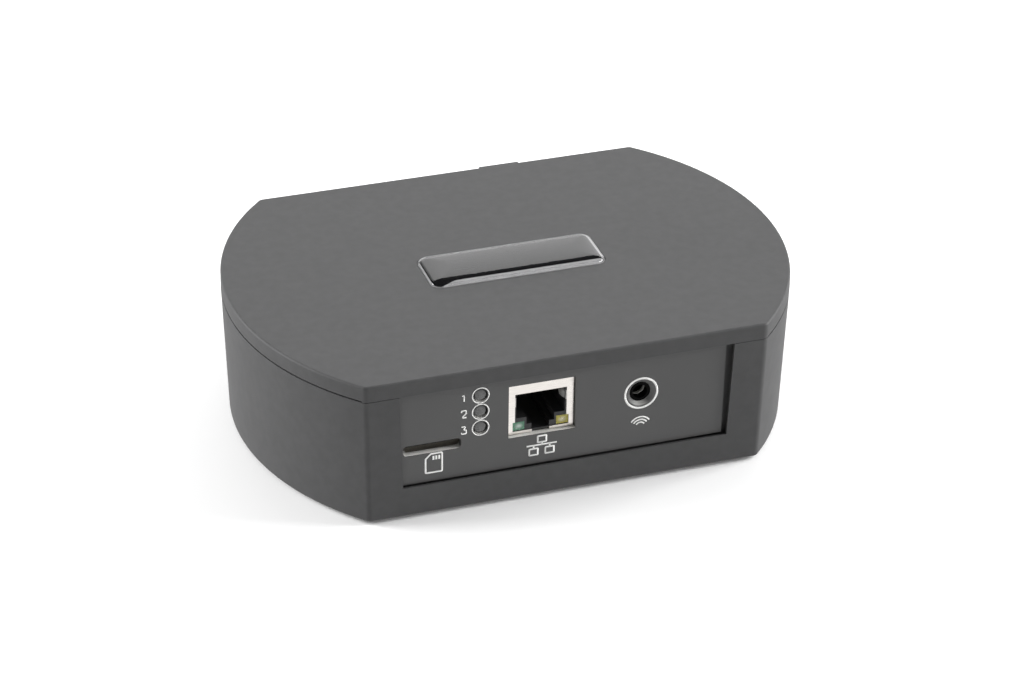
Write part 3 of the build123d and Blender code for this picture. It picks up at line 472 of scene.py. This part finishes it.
# %% Light windows
WINDOW_GLOSS = 0.25
WINDOW_PASSES = 0.35
# The windows' colour carries a painted highlight in the middle and painted shade at the edges.
WINDOW_HIGHLIGHT = 0.6
WINDOW_EDGE_SHADE = -0.35
HIGHLIGHT_START, HIGHLIGHT_END = 0.1, 0.8


def light_window(name, colour, solid):
    """A tinted window over a small light, with a painted highlight in the middle and painted shade at its
    edges.
    """
    material = clear(name, colour, WINDOW_GLOSS, passes=WINDOW_PASSES)
    tree = material.node_tree
    shader = tree.nodes["Principled BSDF"]
    low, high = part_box(solid)
    reach = ((high.x - low.x) / 2, 1.0, (high.z - low.z) / 2)
    place = tree.nodes["Texture Coordinate"].outputs["Object"]
    shift = on_vectors(tree, "SUBTRACT", place, (low + high) / 2)
    outwards = on_vectors(tree, "LENGTH", on_vectors(tree, "DIVIDE", shift, reach))
    # The pale middle is a painted highlight, and the darker edge is painted shade.
    highlight_colour = tuple((1 - WINDOW_HIGHLIGHT) * channel + WINDOW_HIGHLIGHT for channel in colour)
    edge = shade(colour, WINDOW_EDGE_SHADE)
    colours = tones(tree, outwards, highlight_colour, edge, HIGHLIGHT_START, HIGHLIGHT_END)
    tree.links.new(colours, shader.inputs["Base Color"])
    return material


windows = {
    "network_green": light_window("network_green", (0.20, 0.48, 0.31), "network_light_green"),
    "network_yellow": light_window("network_yellow", (0.92, 0.80, 0.14), "network_light_yellow"),
}
print("light windows:", len(windows))

# %% Plain finishes
CASE_GREY = (0.053, 0.053, 0.054)
CASE_PATCH = 2.5 * MM
finishes = {
    "case_plastic": moulded(
        "case_plastic", CASE_GREY, 0.66, depth=0.012 * MM, patch=CASE_PATCH, change=0.055, drift=0.012
    ),
    "foot_rubber": moulded("foot_rubber", (0.018, 0.018, 0.018), 0.75, grain=0.5 * MM, depth=0.03 * MM),
    "socket_black": moulded("socket_black", (0.022, 0.022, 0.023), 0.40, depth=0.006 * MM),
    "jack_black": moulded("jack_black", (0.003, 0.003, 0.003), 0.45, depth=0.006 * MM, shine=0.03),
    "sleeve_metal": brushed("sleeve_metal", (0.80, 0.79, 0.76), 0.6, stretch=(1.0, 20.0, 1.0)),
    "shutter_plastic": moulded("shutter_plastic", (0.03, 0.03, 0.032), 0.4, depth=0.006 * MM),
    "button_plastic": moulded("button_plastic", (0.02, 0.02, 0.021), 0.38, depth=0.008 * MM),
    "insert_white": moulded("insert_white", (0.78, 0.77, 0.74), 0.25, depth=0.003 * MM, change=0.03),
    "insert_red": moulded("insert_red", (0.50, 0.018, 0.02), 0.25, depth=0.003 * MM, change=0.05),
    "chip_black": moulded("chip_black", (0.022, 0.022, 0.023), 0.6, grain=0.12 * MM, depth=0.01 * MM),
    "ferrite": moulded("ferrite", (0.05, 0.05, 0.052), 0.7, grain=0.15 * MM, depth=0.02 * MM),
    "shield_metal": brushed("shield_metal", (0.93, 0.885, 0.84), 0.30, stretch=(30.0, 30.0, 1.0)),
    "screw_steel": brushed("screw_steel", (0.50, 0.49, 0.47), 0.38, stretch=(1.0, 1.0, 12.0)),
    "spring_steel": brushed("spring_steel", (0.48, 0.48, 0.47), 0.30, stretch=(1.0, 6.0, 1.0)),
    "contact_gold": brushed("contact_gold", (0.86, 0.62, 0.25), 0.24, stretch=(1.0, 20.0, 1.0)),
    "contact_nickel": brushed("contact_nickel", (0.72, 0.70, 0.66), 0.18, stretch=(1.0, 20.0, 1.0)),
    "can_aluminium": brushed("can_aluminium", (0.70, 0.70, 0.70), 0.32, stretch=(20.0, 20.0, 1.0)),
    "sink_aluminium": brushed("sink_aluminium", (0.04, 0.04, 0.042), 0.5, stretch=(1.0, 20.0, 1.0)),
    "light_clear": clear("light_clear", (0.15, 0.15, 0.15), 0.25, passes=0.25),
    "holder_grey": moulded("holder_grey", (0.16, 0.16, 0.16), 0.5, depth=0.006 * MM),
    "receiver_clear": clear("receiver_clear", (0.30, 0.02, 0.02), 0.10, passes=0.6),
    "badge_resin": clear("badge_resin", (0.97, 0.97, 0.97), 0.02),
} | windows
print("plain finishes:", len(finishes))

# %% [markdown]
# ## The front panel's paint
#
# The panel is painted sheet. The bevel round the small jack is a little bare. The edges that
# face up, such as the ledge of the card slot, get the colour of bare metal as a painted
# highlight, where the light from above falls on them. The way that a point of the surface
# faces tells these apart.

# %% Panel finish
PANEL_GREY = (0.073, 0.073, 0.073)
SHEET_GREY = (0.82, 0.81, 0.775)
BEVEL_BARE = 0.06
BEVEL_FACING = -0.7
BEVEL_SPREAD = 0.25
LEDGE_HIGHLIGHT_FACING = 0.55
SCRATCHES = 0.15 * MM
PANEL_GRAIN = 0.25 * MM


def painted_sheet():
    """Dark paint on the sheet, and bare metal colour on the cut edges that face up, a painted highlight."""
    material, tree, shader, place = new_finish("panel_paint")
    cloud = noise(tree, place, CLOUD, detail=3.0)
    paint = tones(tree, cloud, shade(PANEL_GREY, -0.03), shade(PANEL_GREY, 0.03))
    scratches = noise(tree, place, SCRATCHES, detail=3.0)
    metal = tones(tree, scratches, shade(SHEET_GREY, -0.15), shade(SHEET_GREY, 0.1))
    facing = split(tree, place.node.outputs["Normal"])
    # Faces that look up get bare metal colour: a painted highlight of the light from above.
    ledge_highlight = level(tree, facing["Z"], 0.0, 1.0, LEDGE_HIGHLIGHT_FACING, 1.0)
    slanted = arithmetic(tree, "COMPARE", facing["Y"], BEVEL_FACING, BEVEL_SPREAD)
    bare_and_highlight = either(tree, ledge_highlight, arithmetic(tree, "MULTIPLY", slanted, BEVEL_BARE))
    tree.links.new(two_colours(tree, bare_and_highlight, paint, metal), shader.inputs["Base Color"])
    shader.inputs["Roughness"].default_value = 0.5
    relief(tree, shader, noise(tree, place, PANEL_GRAIN, detail=3.0), depth=0.008 * MM)
    return material


finishes["panel_paint"] = painted_sheet()
print("panel paint made")

# %% [markdown]
# ## The badge's foil and the circuit board
#
# The foil under the resin is printed dark, and a silver border is left bare. It is widest in
# front, where it tapers away to the left, as the photograph shows. The border is what makes the
# bright rim round the badge, because the edge of the resin bends it towards the eye. The outline
# of the print and its taper are worked out in the material, as distances. The board is hidden
# but for the edge that shows through the card slot. It still gets its black mask with copper
# runs under it, and its cut edges show the tan glass laminate.

# %% Foil finish
FOIL_DARK = (0.006, 0.006, 0.007)
FOIL_SILVER = (0.46, 0.46, 0.465)
BORDER_LEFT, BORDER_FRONT = 0.6 * MM, 0.4 * MM
BORDER_RIGHT, BORDER_BACK = 1.1 * MM, 1.0 * MM
BORDER_WIDE = 1.9 * MM
TAPER_START, TAPER_END = 1.0 * MM, 6.0 * MM
FOIL_CORNER = 2.8 * MM
PRINT_CORNER = 2.0 * MM
FOIL_CLOUD = 6 * MM
FOIL_WAVES = 1.5 * MM


def edge_distance(tree, place, low, high, corner):
    """How far a point lies inside a rounded rectangle's edge, negative outside."""
    middle = (low + high) / 2
    half = (high - low) / 2
    core = (half.x - corner, half.y - corner, 1.0)
    shift = on_vectors(tree, "SUBTRACT", place, (middle.x, middle.y, 0))
    past = on_vectors(tree, "SUBTRACT", on_vectors(tree, "ABSOLUTE", shift), core)
    outside = on_vectors(tree, "MAXIMUM", past, (0.0, 0.0, 0.0))
    return arithmetic(tree, "SUBTRACT", corner, on_vectors(tree, "LENGTH", outside))


def printed_foil():
    """Dark print with a bare silver border."""
    material, tree, shader, place = new_finish("badge_print")
    low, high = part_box("badge_foil")
    low = low + Vector((BORDER_LEFT, BORDER_FRONT, 0))
    high = high - Vector((BORDER_RIGHT, BORDER_BACK, 0))
    inside = edge_distance(tree, place, low, high, PRINT_CORNER)
    where = split(tree, place)
    taper = {"From Min": low.x + TAPER_START, "From Max": low.x + TAPER_END}
    taper |= {"To Min": low.y, "To Max": low.y + BORDER_WIDE - BORDER_FRONT}
    front = node(tree, "ShaderNodeMapRange", taper, interpolation_type="SMOOTHSTEP")
    tree.links.new(where["X"], front.inputs["Value"])
    behind = arithmetic(tree, "SUBTRACT", where["Y"], front.outputs["Result"])
    printed = arithmetic(tree, "GREATER_THAN", arithmetic(tree, "MINIMUM", inside, behind), 0.0)
    cloud = noise(tree, place, FOIL_CLOUD)
    dark = tones(tree, cloud, shade(FOIL_DARK, -0.06), shade(FOIL_DARK, 0.06))
    silver = tones(tree, cloud, shade(FOIL_SILVER, -0.05), shade(FOIL_SILVER, 0.05))
    tree.links.new(two_colours(tree, printed, silver, dark), shader.inputs["Base Color"])
    shader.inputs["Roughness"].default_value = 0.5
    shader.inputs["Specular IOR Level"].default_value = 0.2
    relief(tree, shader, noise(tree, place, FOIL_WAVES), depth=0.001 * MM)
    return material


finishes["badge_print"] = printed_foil()
print("foil print made")

# %% Board finish
MASK_DARK, MASK_PALE = (0.016, 0.015, 0.013), (0.028, 0.027, 0.024)
GLASS_DARK, GLASS_PALE = (0.34, 0.31, 0.27), (0.44, 0.40, 0.35)
RUNS_TO_A_METRE = 260.0
RUN_START, RUN_END = 0.3, 0.5
WEAVE = 0.2 * MM
EDGE_FACING = 0.5


def circuit_board():
    """Black solder mask over raised copper runs, and bare glass laminate on the cut edges."""
    material, tree, shader, place = new_finish("board_mask")
    runs = node(tree, "ShaderNodeTexVoronoi", {"Scale": RUNS_TO_A_METRE}, distance="MANHATTAN", feature="F1")
    tree.links.new(place, runs.inputs["Vector"])
    mask = tones(tree, runs.outputs["Distance"], MASK_DARK, MASK_PALE, RUN_START, RUN_END)
    weave = tones(tree, noise(tree, place, WEAVE), GLASS_DARK, GLASS_PALE)
    facing = split(tree, place.node.outputs["Normal"])
    edge = arithmetic(tree, "COMPARE", facing["Z"], 0.0, EDGE_FACING)
    tree.links.new(two_colours(tree, edge, mask, weave), shader.inputs["Base Color"])
    shader.inputs["Roughness"].default_value = 0.3
    relief(tree, shader, runs.outputs["Distance"], depth=0.02 * MM)
    return material


finishes["board_mask"] = circuit_board()
print("board mask made")

# %% Finishes on the solids
PIECE_FINISH = {"infrared_jack": "jack_black", "light_holder": "holder_grey"}
for part in frame["record"]["subparts"]:
    mesh = nodes[part["node"]].data
    mesh.materials.clear()
    mesh.materials.append(finishes[PIECE_FINISH.get(part["node"], part["material_slot"])])

# %% [markdown]
# ## Printed lines
#
# The panel's marks are screen-printed lines of even width. Each is drawn here as a flat
# centreline, in millimetres, and one Geometry Nodes tree turns any of them into ink: it rounds
# the corners, sweeps a thin flat strip along the line, stands the drawing up and moves it on to
# the panel. The same tree makes thin metal strips, with other sizes. Its last steps, from the
# sweep on, are a function of their own, because the coils further down need them too.

# %% Geometry Nodes for swept strips
CORNER_CUTS = 5
PLACING = {"Turn": "Vector", "Place": "Vector", "Finish": "Material"}


def new_tree(name, sizes):
    """An empty tree, with its inputs by name and kind, and one solid as its output."""
    tree = bpy.data.node_groups.new(name, "GeometryNodeTree")
    for label, kind in (sizes | PLACING).items():
        tree.interface.new_socket(label, in_out="INPUT", socket_type=f"NodeSocket{kind}")
    tree.interface.new_socket("Solid", in_out="OUTPUT", socket_type="NodeSocketGeometry")
    return tree, node(tree, "NodeGroupInput").outputs


def join(tree, joins):
    """Links pairs of sockets."""
    for source, target in joins:
        tree.links.new(source, target)


def sweep_and_place(tree, given, path, profile):
    """Sweeps a profile along a path, turns and moves the result and gives it its finish."""
    sweep = node(tree, "GeometryNodeCurveToMesh", {"Fill Caps": True})
    move = node(tree, "GeometryNodeTransform")
    solid = node(tree, "GeometryNodeRealizeInstances")
    paint = node(tree, "GeometryNodeSetMaterial")
    result = node(tree, "NodeGroupOutput")
    joins = [
        (path, sweep.inputs["Curve"]),
        (profile, sweep.inputs["Profile Curve"]),
        (sweep.outputs["Mesh"], move.inputs["Geometry"]),
        (given["Turn"], move.inputs["Rotation"]),
        (given["Place"], move.inputs["Translation"]),
        (move.outputs["Geometry"], solid.inputs["Geometry"]),
        (solid.outputs["Geometry"], paint.inputs["Geometry"]),
        (given["Finish"], paint.inputs["Material"]),
        (paint.outputs["Geometry"], result.inputs["Solid"]),
    ]
    join(tree, joins)


def strip_tree():
    """The tree: centreline in, swept strip out, with its sizes as named inputs."""
    sizes = {"Centreline": "Geometry", "Width": "Float", "Thickness": "Float", "Corner": "Float"}
    tree, given = new_tree("swept_strip", sizes)
    curve = node(tree, "GeometryNodeMeshToCurve")
    rounded = node(tree, "GeometryNodeFilletCurve", {"Count": CORNER_CUTS}, mode="POLY")
    profile = node(tree, "GeometryNodeCurvePrimitiveQuadrilateral")
    joins = [
        (given["Centreline"], curve.inputs["Mesh"]),
        (curve.outputs["Curve"], rounded.inputs["Curve"]),
        (given["Corner"], rounded.inputs["Radius"]),
        (given["Width"], profile.inputs["Width"]),
        (given["Thickness"], profile.inputs["Height"]),
    ]
    join(tree, joins)
    sweep_and_place(tree, given, rounded.outputs["Curve"], profile.outputs["Curve"])
    return tree


STRIP = strip_tree()
print("tree:", STRIP.name, "with", len(STRIP.nodes), "nodes")


# %% From a tree to a plain mesh
def grow(name, lines, tree, **inputs):
    """Runs a tree on flat centrelines and keeps the result as a plain mesh."""
    points = []
    edges = []
    for line, closed in lines:
        first = len(points)
        points += [(x * MM, y * MM, 0.0) for x, y in line]
        edges += [(first + i, first + i + 1) for i in range(len(line) - 1)]
        if closed:
            edges.append((len(points) - 1, first))
    mesh = bpy.data.meshes.new(f"{name}_lines")
    mesh.from_pydata(points, edges, [])
    made = bpy.data.objects.new(name, mesh)
    bpy.context.scene.collection.objects.link(made)
    modifier = made.modifiers.new("tree", "NODES")
    modifier.node_group = tree
    for item in tree.interface.items_tree:
        if item.in_out == "INPUT" and item.name in inputs:
            modifier[item.identifier] = inputs[item.name]
    depsgraph = bpy.context.evaluated_depsgraph_get()
    solid = bpy.data.meshes.new_from_object(made.evaluated_get(depsgraph))
    made.modifiers.remove(modifier)
    made.data = solid
    bpy.data.meshes.remove(mesh)
    return made


print("meshes so far:", len(bpy.data.meshes))

# %% [markdown]
# ## The marks on the panel
#
# Each mark takes its place from the piece that it belongs to. The card's outline sits below
# the slot, the three linked boxes below the network jack and the waves below the round jack.
# Rings run round the lights and the round jack. The lights have plain numbers beside them.

# %% Ink and drawing
INK = 0.03 * MM
STAND_UP = (math.radians(90), 0.0, 0.0)
PRINT_WHITE = (0.93, 0.93, 0.91)
finishes["print_ink"] = moulded("print_ink", PRINT_WHITE, 0.45, grain=0.1 * MM, depth=0.004 * MM, change=0.03)
FACE_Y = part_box("front_panel")[0].y


def print_mark(name, lines, stroke, x, z, corner=0.0):
    """Prints centrelines on the front panel, with their origin at x and z."""
    mark = grow(
        name,
        lines,
        STRIP,
        Width=stroke * MM,
        Thickness=INK,
        Corner=corner * MM,
        Turn=STAND_UP,
        Place=(x, FACE_Y - INK / 2, z),
        Finish=finishes["print_ink"],
    )
    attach(mark, BODY)
    print(name, "faces:", len(mark.data.polygons))


def ring(radius, steps=48):
    """A closed circle as a centreline."""
    turns = [2 * math.pi * step / steps for step in range(steps)]
    return [(radius * math.cos(turn), radius * math.sin(turn)) for turn in turns], True


def arc(radius, half_angle, steps=16):
    """An open arc about the upright, as a centreline."""
    turns = [math.radians(90 + half_angle * (2 * step / steps - 1)) for step in range(steps + 1)]
    return [(radius * math.cos(turn), radius * math.sin(turn)) for turn in turns], False


def frame_line(x, y, width, height):
    """A closed rectangle by its middle and size."""
    corners = [(x - width / 2, y - height / 2), (x + width / 2, y - height / 2)]
    corners += [(x + width / 2, y + height / 2), (x - width / 2, y + height / 2)]
    return corners, True


def upright(x, start, end):
    """An upright line at x, from one height to another."""
    return [(x, start), (x, end)], False


def middle_x(name):
    """The x of the middle of a solid."""
    low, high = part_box(name)
    return (low.x + high.x) / 2


print("ink:", round(INK / MM, 3), "mm thick")

# %% Rings and waves
LIGHTS = ("upper", "middle", "lower")
FLANGE_RADIUS = 1.9 * MM
LIGHT_RING, LIGHT_STROKE = 2.0, 0.25
JACK_RING, JACK_STROKE = 3.98, 0.5
WAVE_RADII = (1.2, 1.95, 2.7)
WAVE_SPREAD, WAVE_STROKE = 56, 0.35
WAVE_DROP = 9.2 * MM


def light_place(light):
    """The x and z of the middle of a status light, seen from the front."""
    lamp = f"status_light_{light}"
    return middle_x(lamp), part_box(lamp)[1].z - FLANGE_RADIUS


for light in LIGHTS:
    print_mark(f"{light}_light_ring", [ring(LIGHT_RING)], LIGHT_STROKE, *light_place(light))

jack = Vector(mounts["infrared_jack"]["pos_m"])
print_mark("infrared_ring", [ring(JACK_RING)], JACK_STROKE, jack.x, jack.z)
waves = [arc(radius, WAVE_SPREAD) for radius in WAVE_RADII]
print_mark("infrared_waves", waves, WAVE_STROKE, jack.x, jack.z - WAVE_DROP)

# %% Linked boxes
BOX = (2.1, 1.7)
TOP_BOX = (0.05, 1.55)
LOW_BOXES = ((-2.0, -1.75), (1.95, -1.75))
LINK_HALF = 3.7
TOP_STUB, LOW_STUB = 0.7, -0.9
LINK_STROKE, LINK_CORNER = 0.4, 0.12
LINK_HEIGHT = 13.9 * MM
link_lines = [frame_line(*box, *BOX) for box in (TOP_BOX, *LOW_BOXES)]
link_lines.append(([(-LINK_HALF, 0.0), (LINK_HALF, 0.0)], False))
link_lines.append(upright(TOP_BOX[0], TOP_STUB, 0.0))
link_lines += [upright(x, 0.0, LOW_STUB) for x, _ in LOW_BOXES]
link_x = middle_x("network_shield")
print_mark("network_mark", link_lines, LINK_STROKE, link_x, LINK_HEIGHT, corner=LINK_CORNER)

# %% Card mark
CARD_MARK_SHIFT = 0.4 * MM
CARD_OUTLINE = [(-2.0, -2.55), (2.0, -2.55), (2.0, 2.55), (-0.7, 2.55), (-2.0, 1.3)]
CARD_STROKE, CARD_CORNER = 0.4, 0.22
CONTACT_PLACES = (-0.1, 0.6, 1.3)
CONTACT_LOW, CONTACT_HIGH = 0.85, 1.9
CONTACT_STROKE = 0.45
CARD_HEIGHT = 13.8 * MM
slot_x = mounts["card_slot"]["pos_m"][0] + CARD_MARK_SHIFT
print_mark("card_mark", [(CARD_OUTLINE, True)], CARD_STROKE, slot_x, CARD_HEIGHT, corner=CARD_CORNER)
contact_lines = [upright(x, CONTACT_LOW, CONTACT_HIGH) for x in CONTACT_PLACES]
print_mark("card_mark_contacts", contact_lines, CONTACT_STROKE, slot_x, CARD_HEIGHT)

# %% [markdown]
# ## Plain numbers
#
# The numbers are drawn like the other marks, as one line each on a small grid, with their
# corners rounded by the tree.

# %% Numbers beside the lights
NUMBER_STROKE, NUMBER_CORNER = 0.3, 0.2
NUMBER_GAP = 4.6 * MM
NUMBER_DROP = 0.95 * MM
DIGITS = {
    "upper": [(0.15, 1.45), (0.6, 1.9), (0.6, 0.0)],
    "middle": [(0.0, 1.4), (0.0, 1.9), (1.1, 1.9), (1.1, 1.1), (0.0, 0.0), (1.2, 0.0)],
    "lower": [(0.0, 1.9), (1.1, 1.9), (0.45, 1.1), (1.15, 0.95), (1.15, 0.0), (0.0, 0.0), (0.0, 0.4)],
}
for light, digit in DIGITS.items():
    x, z = light_place(light)
    name = f"{light}_light_number"
    print_mark(name, [(digit, False)], NUMBER_STROKE, x - NUMBER_GAP, z - NUMBER_DROP, NUMBER_CORNER)

# %% [markdown]
# ## The badge's dome
#
# Resin poured on a foil stands up at its edge by its own surface tension and flattens towards
# the middle. The dome is built as a stack of rings, each the foil's rounded outline drawn in a
# little further. Its height at each ring follows a quarter of an ellipse near the edge, with a
# slight crown over the middle. The rings lie closer together near the edge, where it curves.

# %% Dome
DOME_EDGE = 2.6 * MM
DOME_STEPS = 14
DOME_REACH = 0.97
RING_CROWDING = 1.7
CROWN_SHARE = 0.30
CORNER_STEPS = 10
LEAST_CORNER = 0.05 * MM


def rounded_outline(half_x, half_y, corner, inset):
    """Points round a rounded rectangle that is drawn in by inset."""
    radius = max(corner - inset, LEAST_CORNER)
    core_x = half_x - inset - radius
    core_y = half_y - inset - radius
    points = []
    for quarter, (side_x, side_y) in enumerate(((1, 1), (-1, 1), (-1, -1), (1, -1))):
        for step in range(CORNER_STEPS + 1):
            turn = math.radians(90 * (quarter + step / CORNER_STEPS))
            x = side_x * core_x + radius * math.cos(turn)
            points.append((x, side_y * core_y + radius * math.sin(turn)))
    return points


def make_dome():
    """The resin dome, as rings joined by faces and closed below."""
    low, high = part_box("badge_dome")
    middle = (low + high) / 2
    half = (high - low) / 2
    height = high.z - low.z
    rings = []
    for step in range(DOME_STEPS + 1):
        share = step / DOME_STEPS
        inset = half.y * DOME_REACH * share**RING_CROWDING
        rise = min(1.0, inset / DOME_EDGE)
        shoulder = math.sqrt(max(0.0, 1 - (1 - rise) ** 2))
        crown = 1 - (1 - inset / half.y) ** 2
        z = low.z + height * ((1 - CROWN_SHARE) * shoulder + CROWN_SHARE * crown)
        outline = rounded_outline(half.x, half.y, FOIL_CORNER, inset)
        rings.append([(middle.x + x, middle.y + y, z) for x, y in outline])
    count = len(rings[0])
    points = [point for line in rings for point in line]
    faces = [tuple(reversed(range(count)))]
    for index in range(DOME_STEPS):
        for step in range(count):
            after = (step + 1) % count
            base = index * count
            faces.append((base + step, base + after, base + count + after, base + count + step))
    last = DOME_STEPS * count
    faces.append(tuple(last + step for step in range(count)))
    dome = mesh_object("resin_dome", points, faces)
    for face in dome.data.polygons:
        face.use_smooth = face.index > 0
    dome.data.materials.append(finishes["badge_resin"])
    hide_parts("badge_dome")
    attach(dome, BODY)
    return dome


dome = make_dome()
print("dome faces:", len(dome.data.polygons))

# %% [markdown]
# ## The network jack's side springs
#
# A shielded jack has a leaf bent in from each side of its mouth, which presses on the plug's
# own shield. Seen from above, a leaf runs in from the rim, bows towards the plug and ends free.

# %% Side springs
RIM_SIDE = 1.7 * MM
LEAF = 0.15 * MM
LEAF_HEIGHT = 2.4 * MM
LEAF_BEND = 0.3 * MM
LEAF_INSIDE = 0.1 * MM
LEAF_BACK = 0.02 * MM
LEAF_DROP = 5.0 * MM
LEAF_PATH = [(0.0, 0.0), (-0.15, 0.5), (-0.6, 1.6), (-0.75, 2.6), (-0.45, 4.2)]


def make_side_spring(side):
    """One leaf on the left or right of the network jack's mouth."""
    low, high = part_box("network_shield")
    middle = (low.x + high.x) / 2
    mouth = (high.x - low.x) / 2 - RIM_SIDE
    path = [(side * x, y) for x, y in LEAF_PATH]
    leaf = grow(
        "network_spring_left" if side < 0 else "network_spring_right",
        [(path, False)],
        STRIP,
        Width=LEAF,
        Thickness=LEAF_HEIGHT,
        Corner=LEAF_BEND,
        Turn=(0.0, 0.0, 0.0),
        Place=(middle + side * (mouth - LEAF_INSIDE), low.y + LEAF_BACK, high.z - LEAF_DROP),
        Finish=finishes["sleeve_metal"],
    )
    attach(leaf, BODY)
    return leaf


leaves = [make_side_spring(side) for side in (-1, 1)]
print("side springs:", len(leaves))

# %% [markdown]
# ## The small jack's sleeve
#
# A little way inside a small jack's mouth sits the plated ring that the plug's sleeve touches.
# It is a strip bent round, so it comes from the same tree, and it shows as a light crescent.

# %% Sleeve ring
SLEEVE_WALL = 0.06
SLEEVE_LENGTH = 1.0
SLEEVE_DEPTH = 2.5 * MM
jack_radius = mounts["infrared_jack"]["dims"]["r_mm"]
sleeve = grow(
    "infrared_sleeve",
    [ring(jack_radius - SLEEVE_WALL)],
    STRIP,
    Width=SLEEVE_WALL * MM,
    Thickness=SLEEVE_LENGTH * MM,
    Corner=0.0,
    Turn=STAND_UP,
    Place=(jack.x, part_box("infrared_jack")[0].y + SLEEVE_DEPTH, jack.z),
    Finish=finishes["sleeve_metal"],
)
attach(sleeve, BODY)
print("sleeve faces:", len(sleeve.data.polygons))

# %% [markdown]
# ## The status lights
#
# A round lamp of this size is sold with a ball-shaped lens or with a flat one, and the lights
# in the photograph fill their holes like the flat kind. Each is a copy of its solid. The points
# of the lens are pressed towards its tip, and the body, flange and leads stay as they are.

# %% Flat lenses
LENS_DEPTH = 1.5 * MM
LENS_PRESSED = 0.28
LENS_MARGIN = 0.01 * MM
SAME_POINT = 0.001 * MM
SHARP_EDGE = math.radians(35)


def press_lens(solid):
    """A copy of a status light with its lens pressed flat towards its tip."""
    shape = bmesh.new()
    shape.from_mesh(nodes[solid].data)
    bmesh.ops.remove_doubles(shape, verts=shape.verts, dist=SAME_POINT)
    tip = min(point.co.y for point in shape.verts)
    for point in shape.verts:
        behind = point.co.y - tip
        if behind < LENS_DEPTH - LENS_MARGIN:
            point.co.y = tip + behind * LENS_PRESSED
    mesh = bpy.data.meshes.new(solid + "_flat")
    shape.to_mesh(mesh)
    shape.free()
    mesh.shade_smooth()
    mesh.set_sharp_from_angle(angle=SHARP_EDGE)
    light = bpy.data.objects.new(solid + "_flat", mesh)
    bpy.context.scene.collection.objects.link(light)
    mesh.materials.append(finishes["light_clear"])
    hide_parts(solid)
    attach(light, BODY)
    return light


lights = [press_lens(f"status_light_{light}") for light in reversed(LIGHTS)]
print("lights:", len(lights), "faces each:", len(lights[0].data.polygons))

# %% [markdown]
# ## The coil springs
#
# The pairing button and the card slider each push on a small coil spring. A coil follows a
# rule, so a second tree draws it: a spiral for the wire's path and a circle swept along it.

# %% Geometry Nodes for a coil
LAY_ALONG_Y = (math.radians(-90), 0.0, 0.0)
WIRE_SIDES = 10
STEPS_A_TURN = 24


def coil_tree():
    """The tree: a coil along its axis, with its sizes as named inputs."""
    sizes = {"Turns": "Float", "Radius": "Float", "Length": "Float", "Wire": "Float"}
    tree, given = new_tree("coil", sizes)
    path = node(tree, "GeometryNodeCurveSpiral", {"Resolution": STEPS_A_TURN})
    section = node(tree, "GeometryNodeCurvePrimitiveCircle", {"Resolution": WIRE_SIDES})
    joins = [
        (given["Turns"], path.inputs["Rotations"]),
        (given["Radius"], path.inputs["Start Radius"]),
        (given["Radius"], path.inputs["End Radius"]),
        (given["Length"], path.inputs["Height"]),
        (given["Wire"], section.inputs["Radius"]),
    ]
    join(tree, joins)
    sweep_and_place(tree, given, path.outputs["Curve"], section.outputs["Curve"])
    return tree


COIL = coil_tree()
print("tree:", COIL.name, "with", len(COIL.nodes), "nodes")

# %% Coil springs
COIL_TURNS = 3.0
BUTTON_WIRE = 0.25 * MM
CARD_WIRE = 0.14 * MM


def make_coil_spring(name, solid, wire):
    """A coil in a solid's place, which hides that solid."""
    low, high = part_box(solid)
    middle = (low + high) / 2
    spring = grow(
        name,
        [],
        COIL,
        Turns=COIL_TURNS,
        Radius=(high.x - low.x) / 2 - wire,
        Length=high.y - low.y - 2 * wire,
        Wire=wire,
        Turn=LAY_ALONG_Y,
        Place=(middle.x, low.y + wire, middle.z),
        Finish=finishes["spring_steel"],
    )
    for face in spring.data.polygons:
        face.use_smooth = len(face.vertices) == 4
    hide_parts(solid)
    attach(spring, BODY)
    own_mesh(spring)


make_coil_spring("button_return_spring", "button_spring", BUTTON_WIRE)
make_coil_spring("card_return_spring", "card_spring", CARD_WIRE)
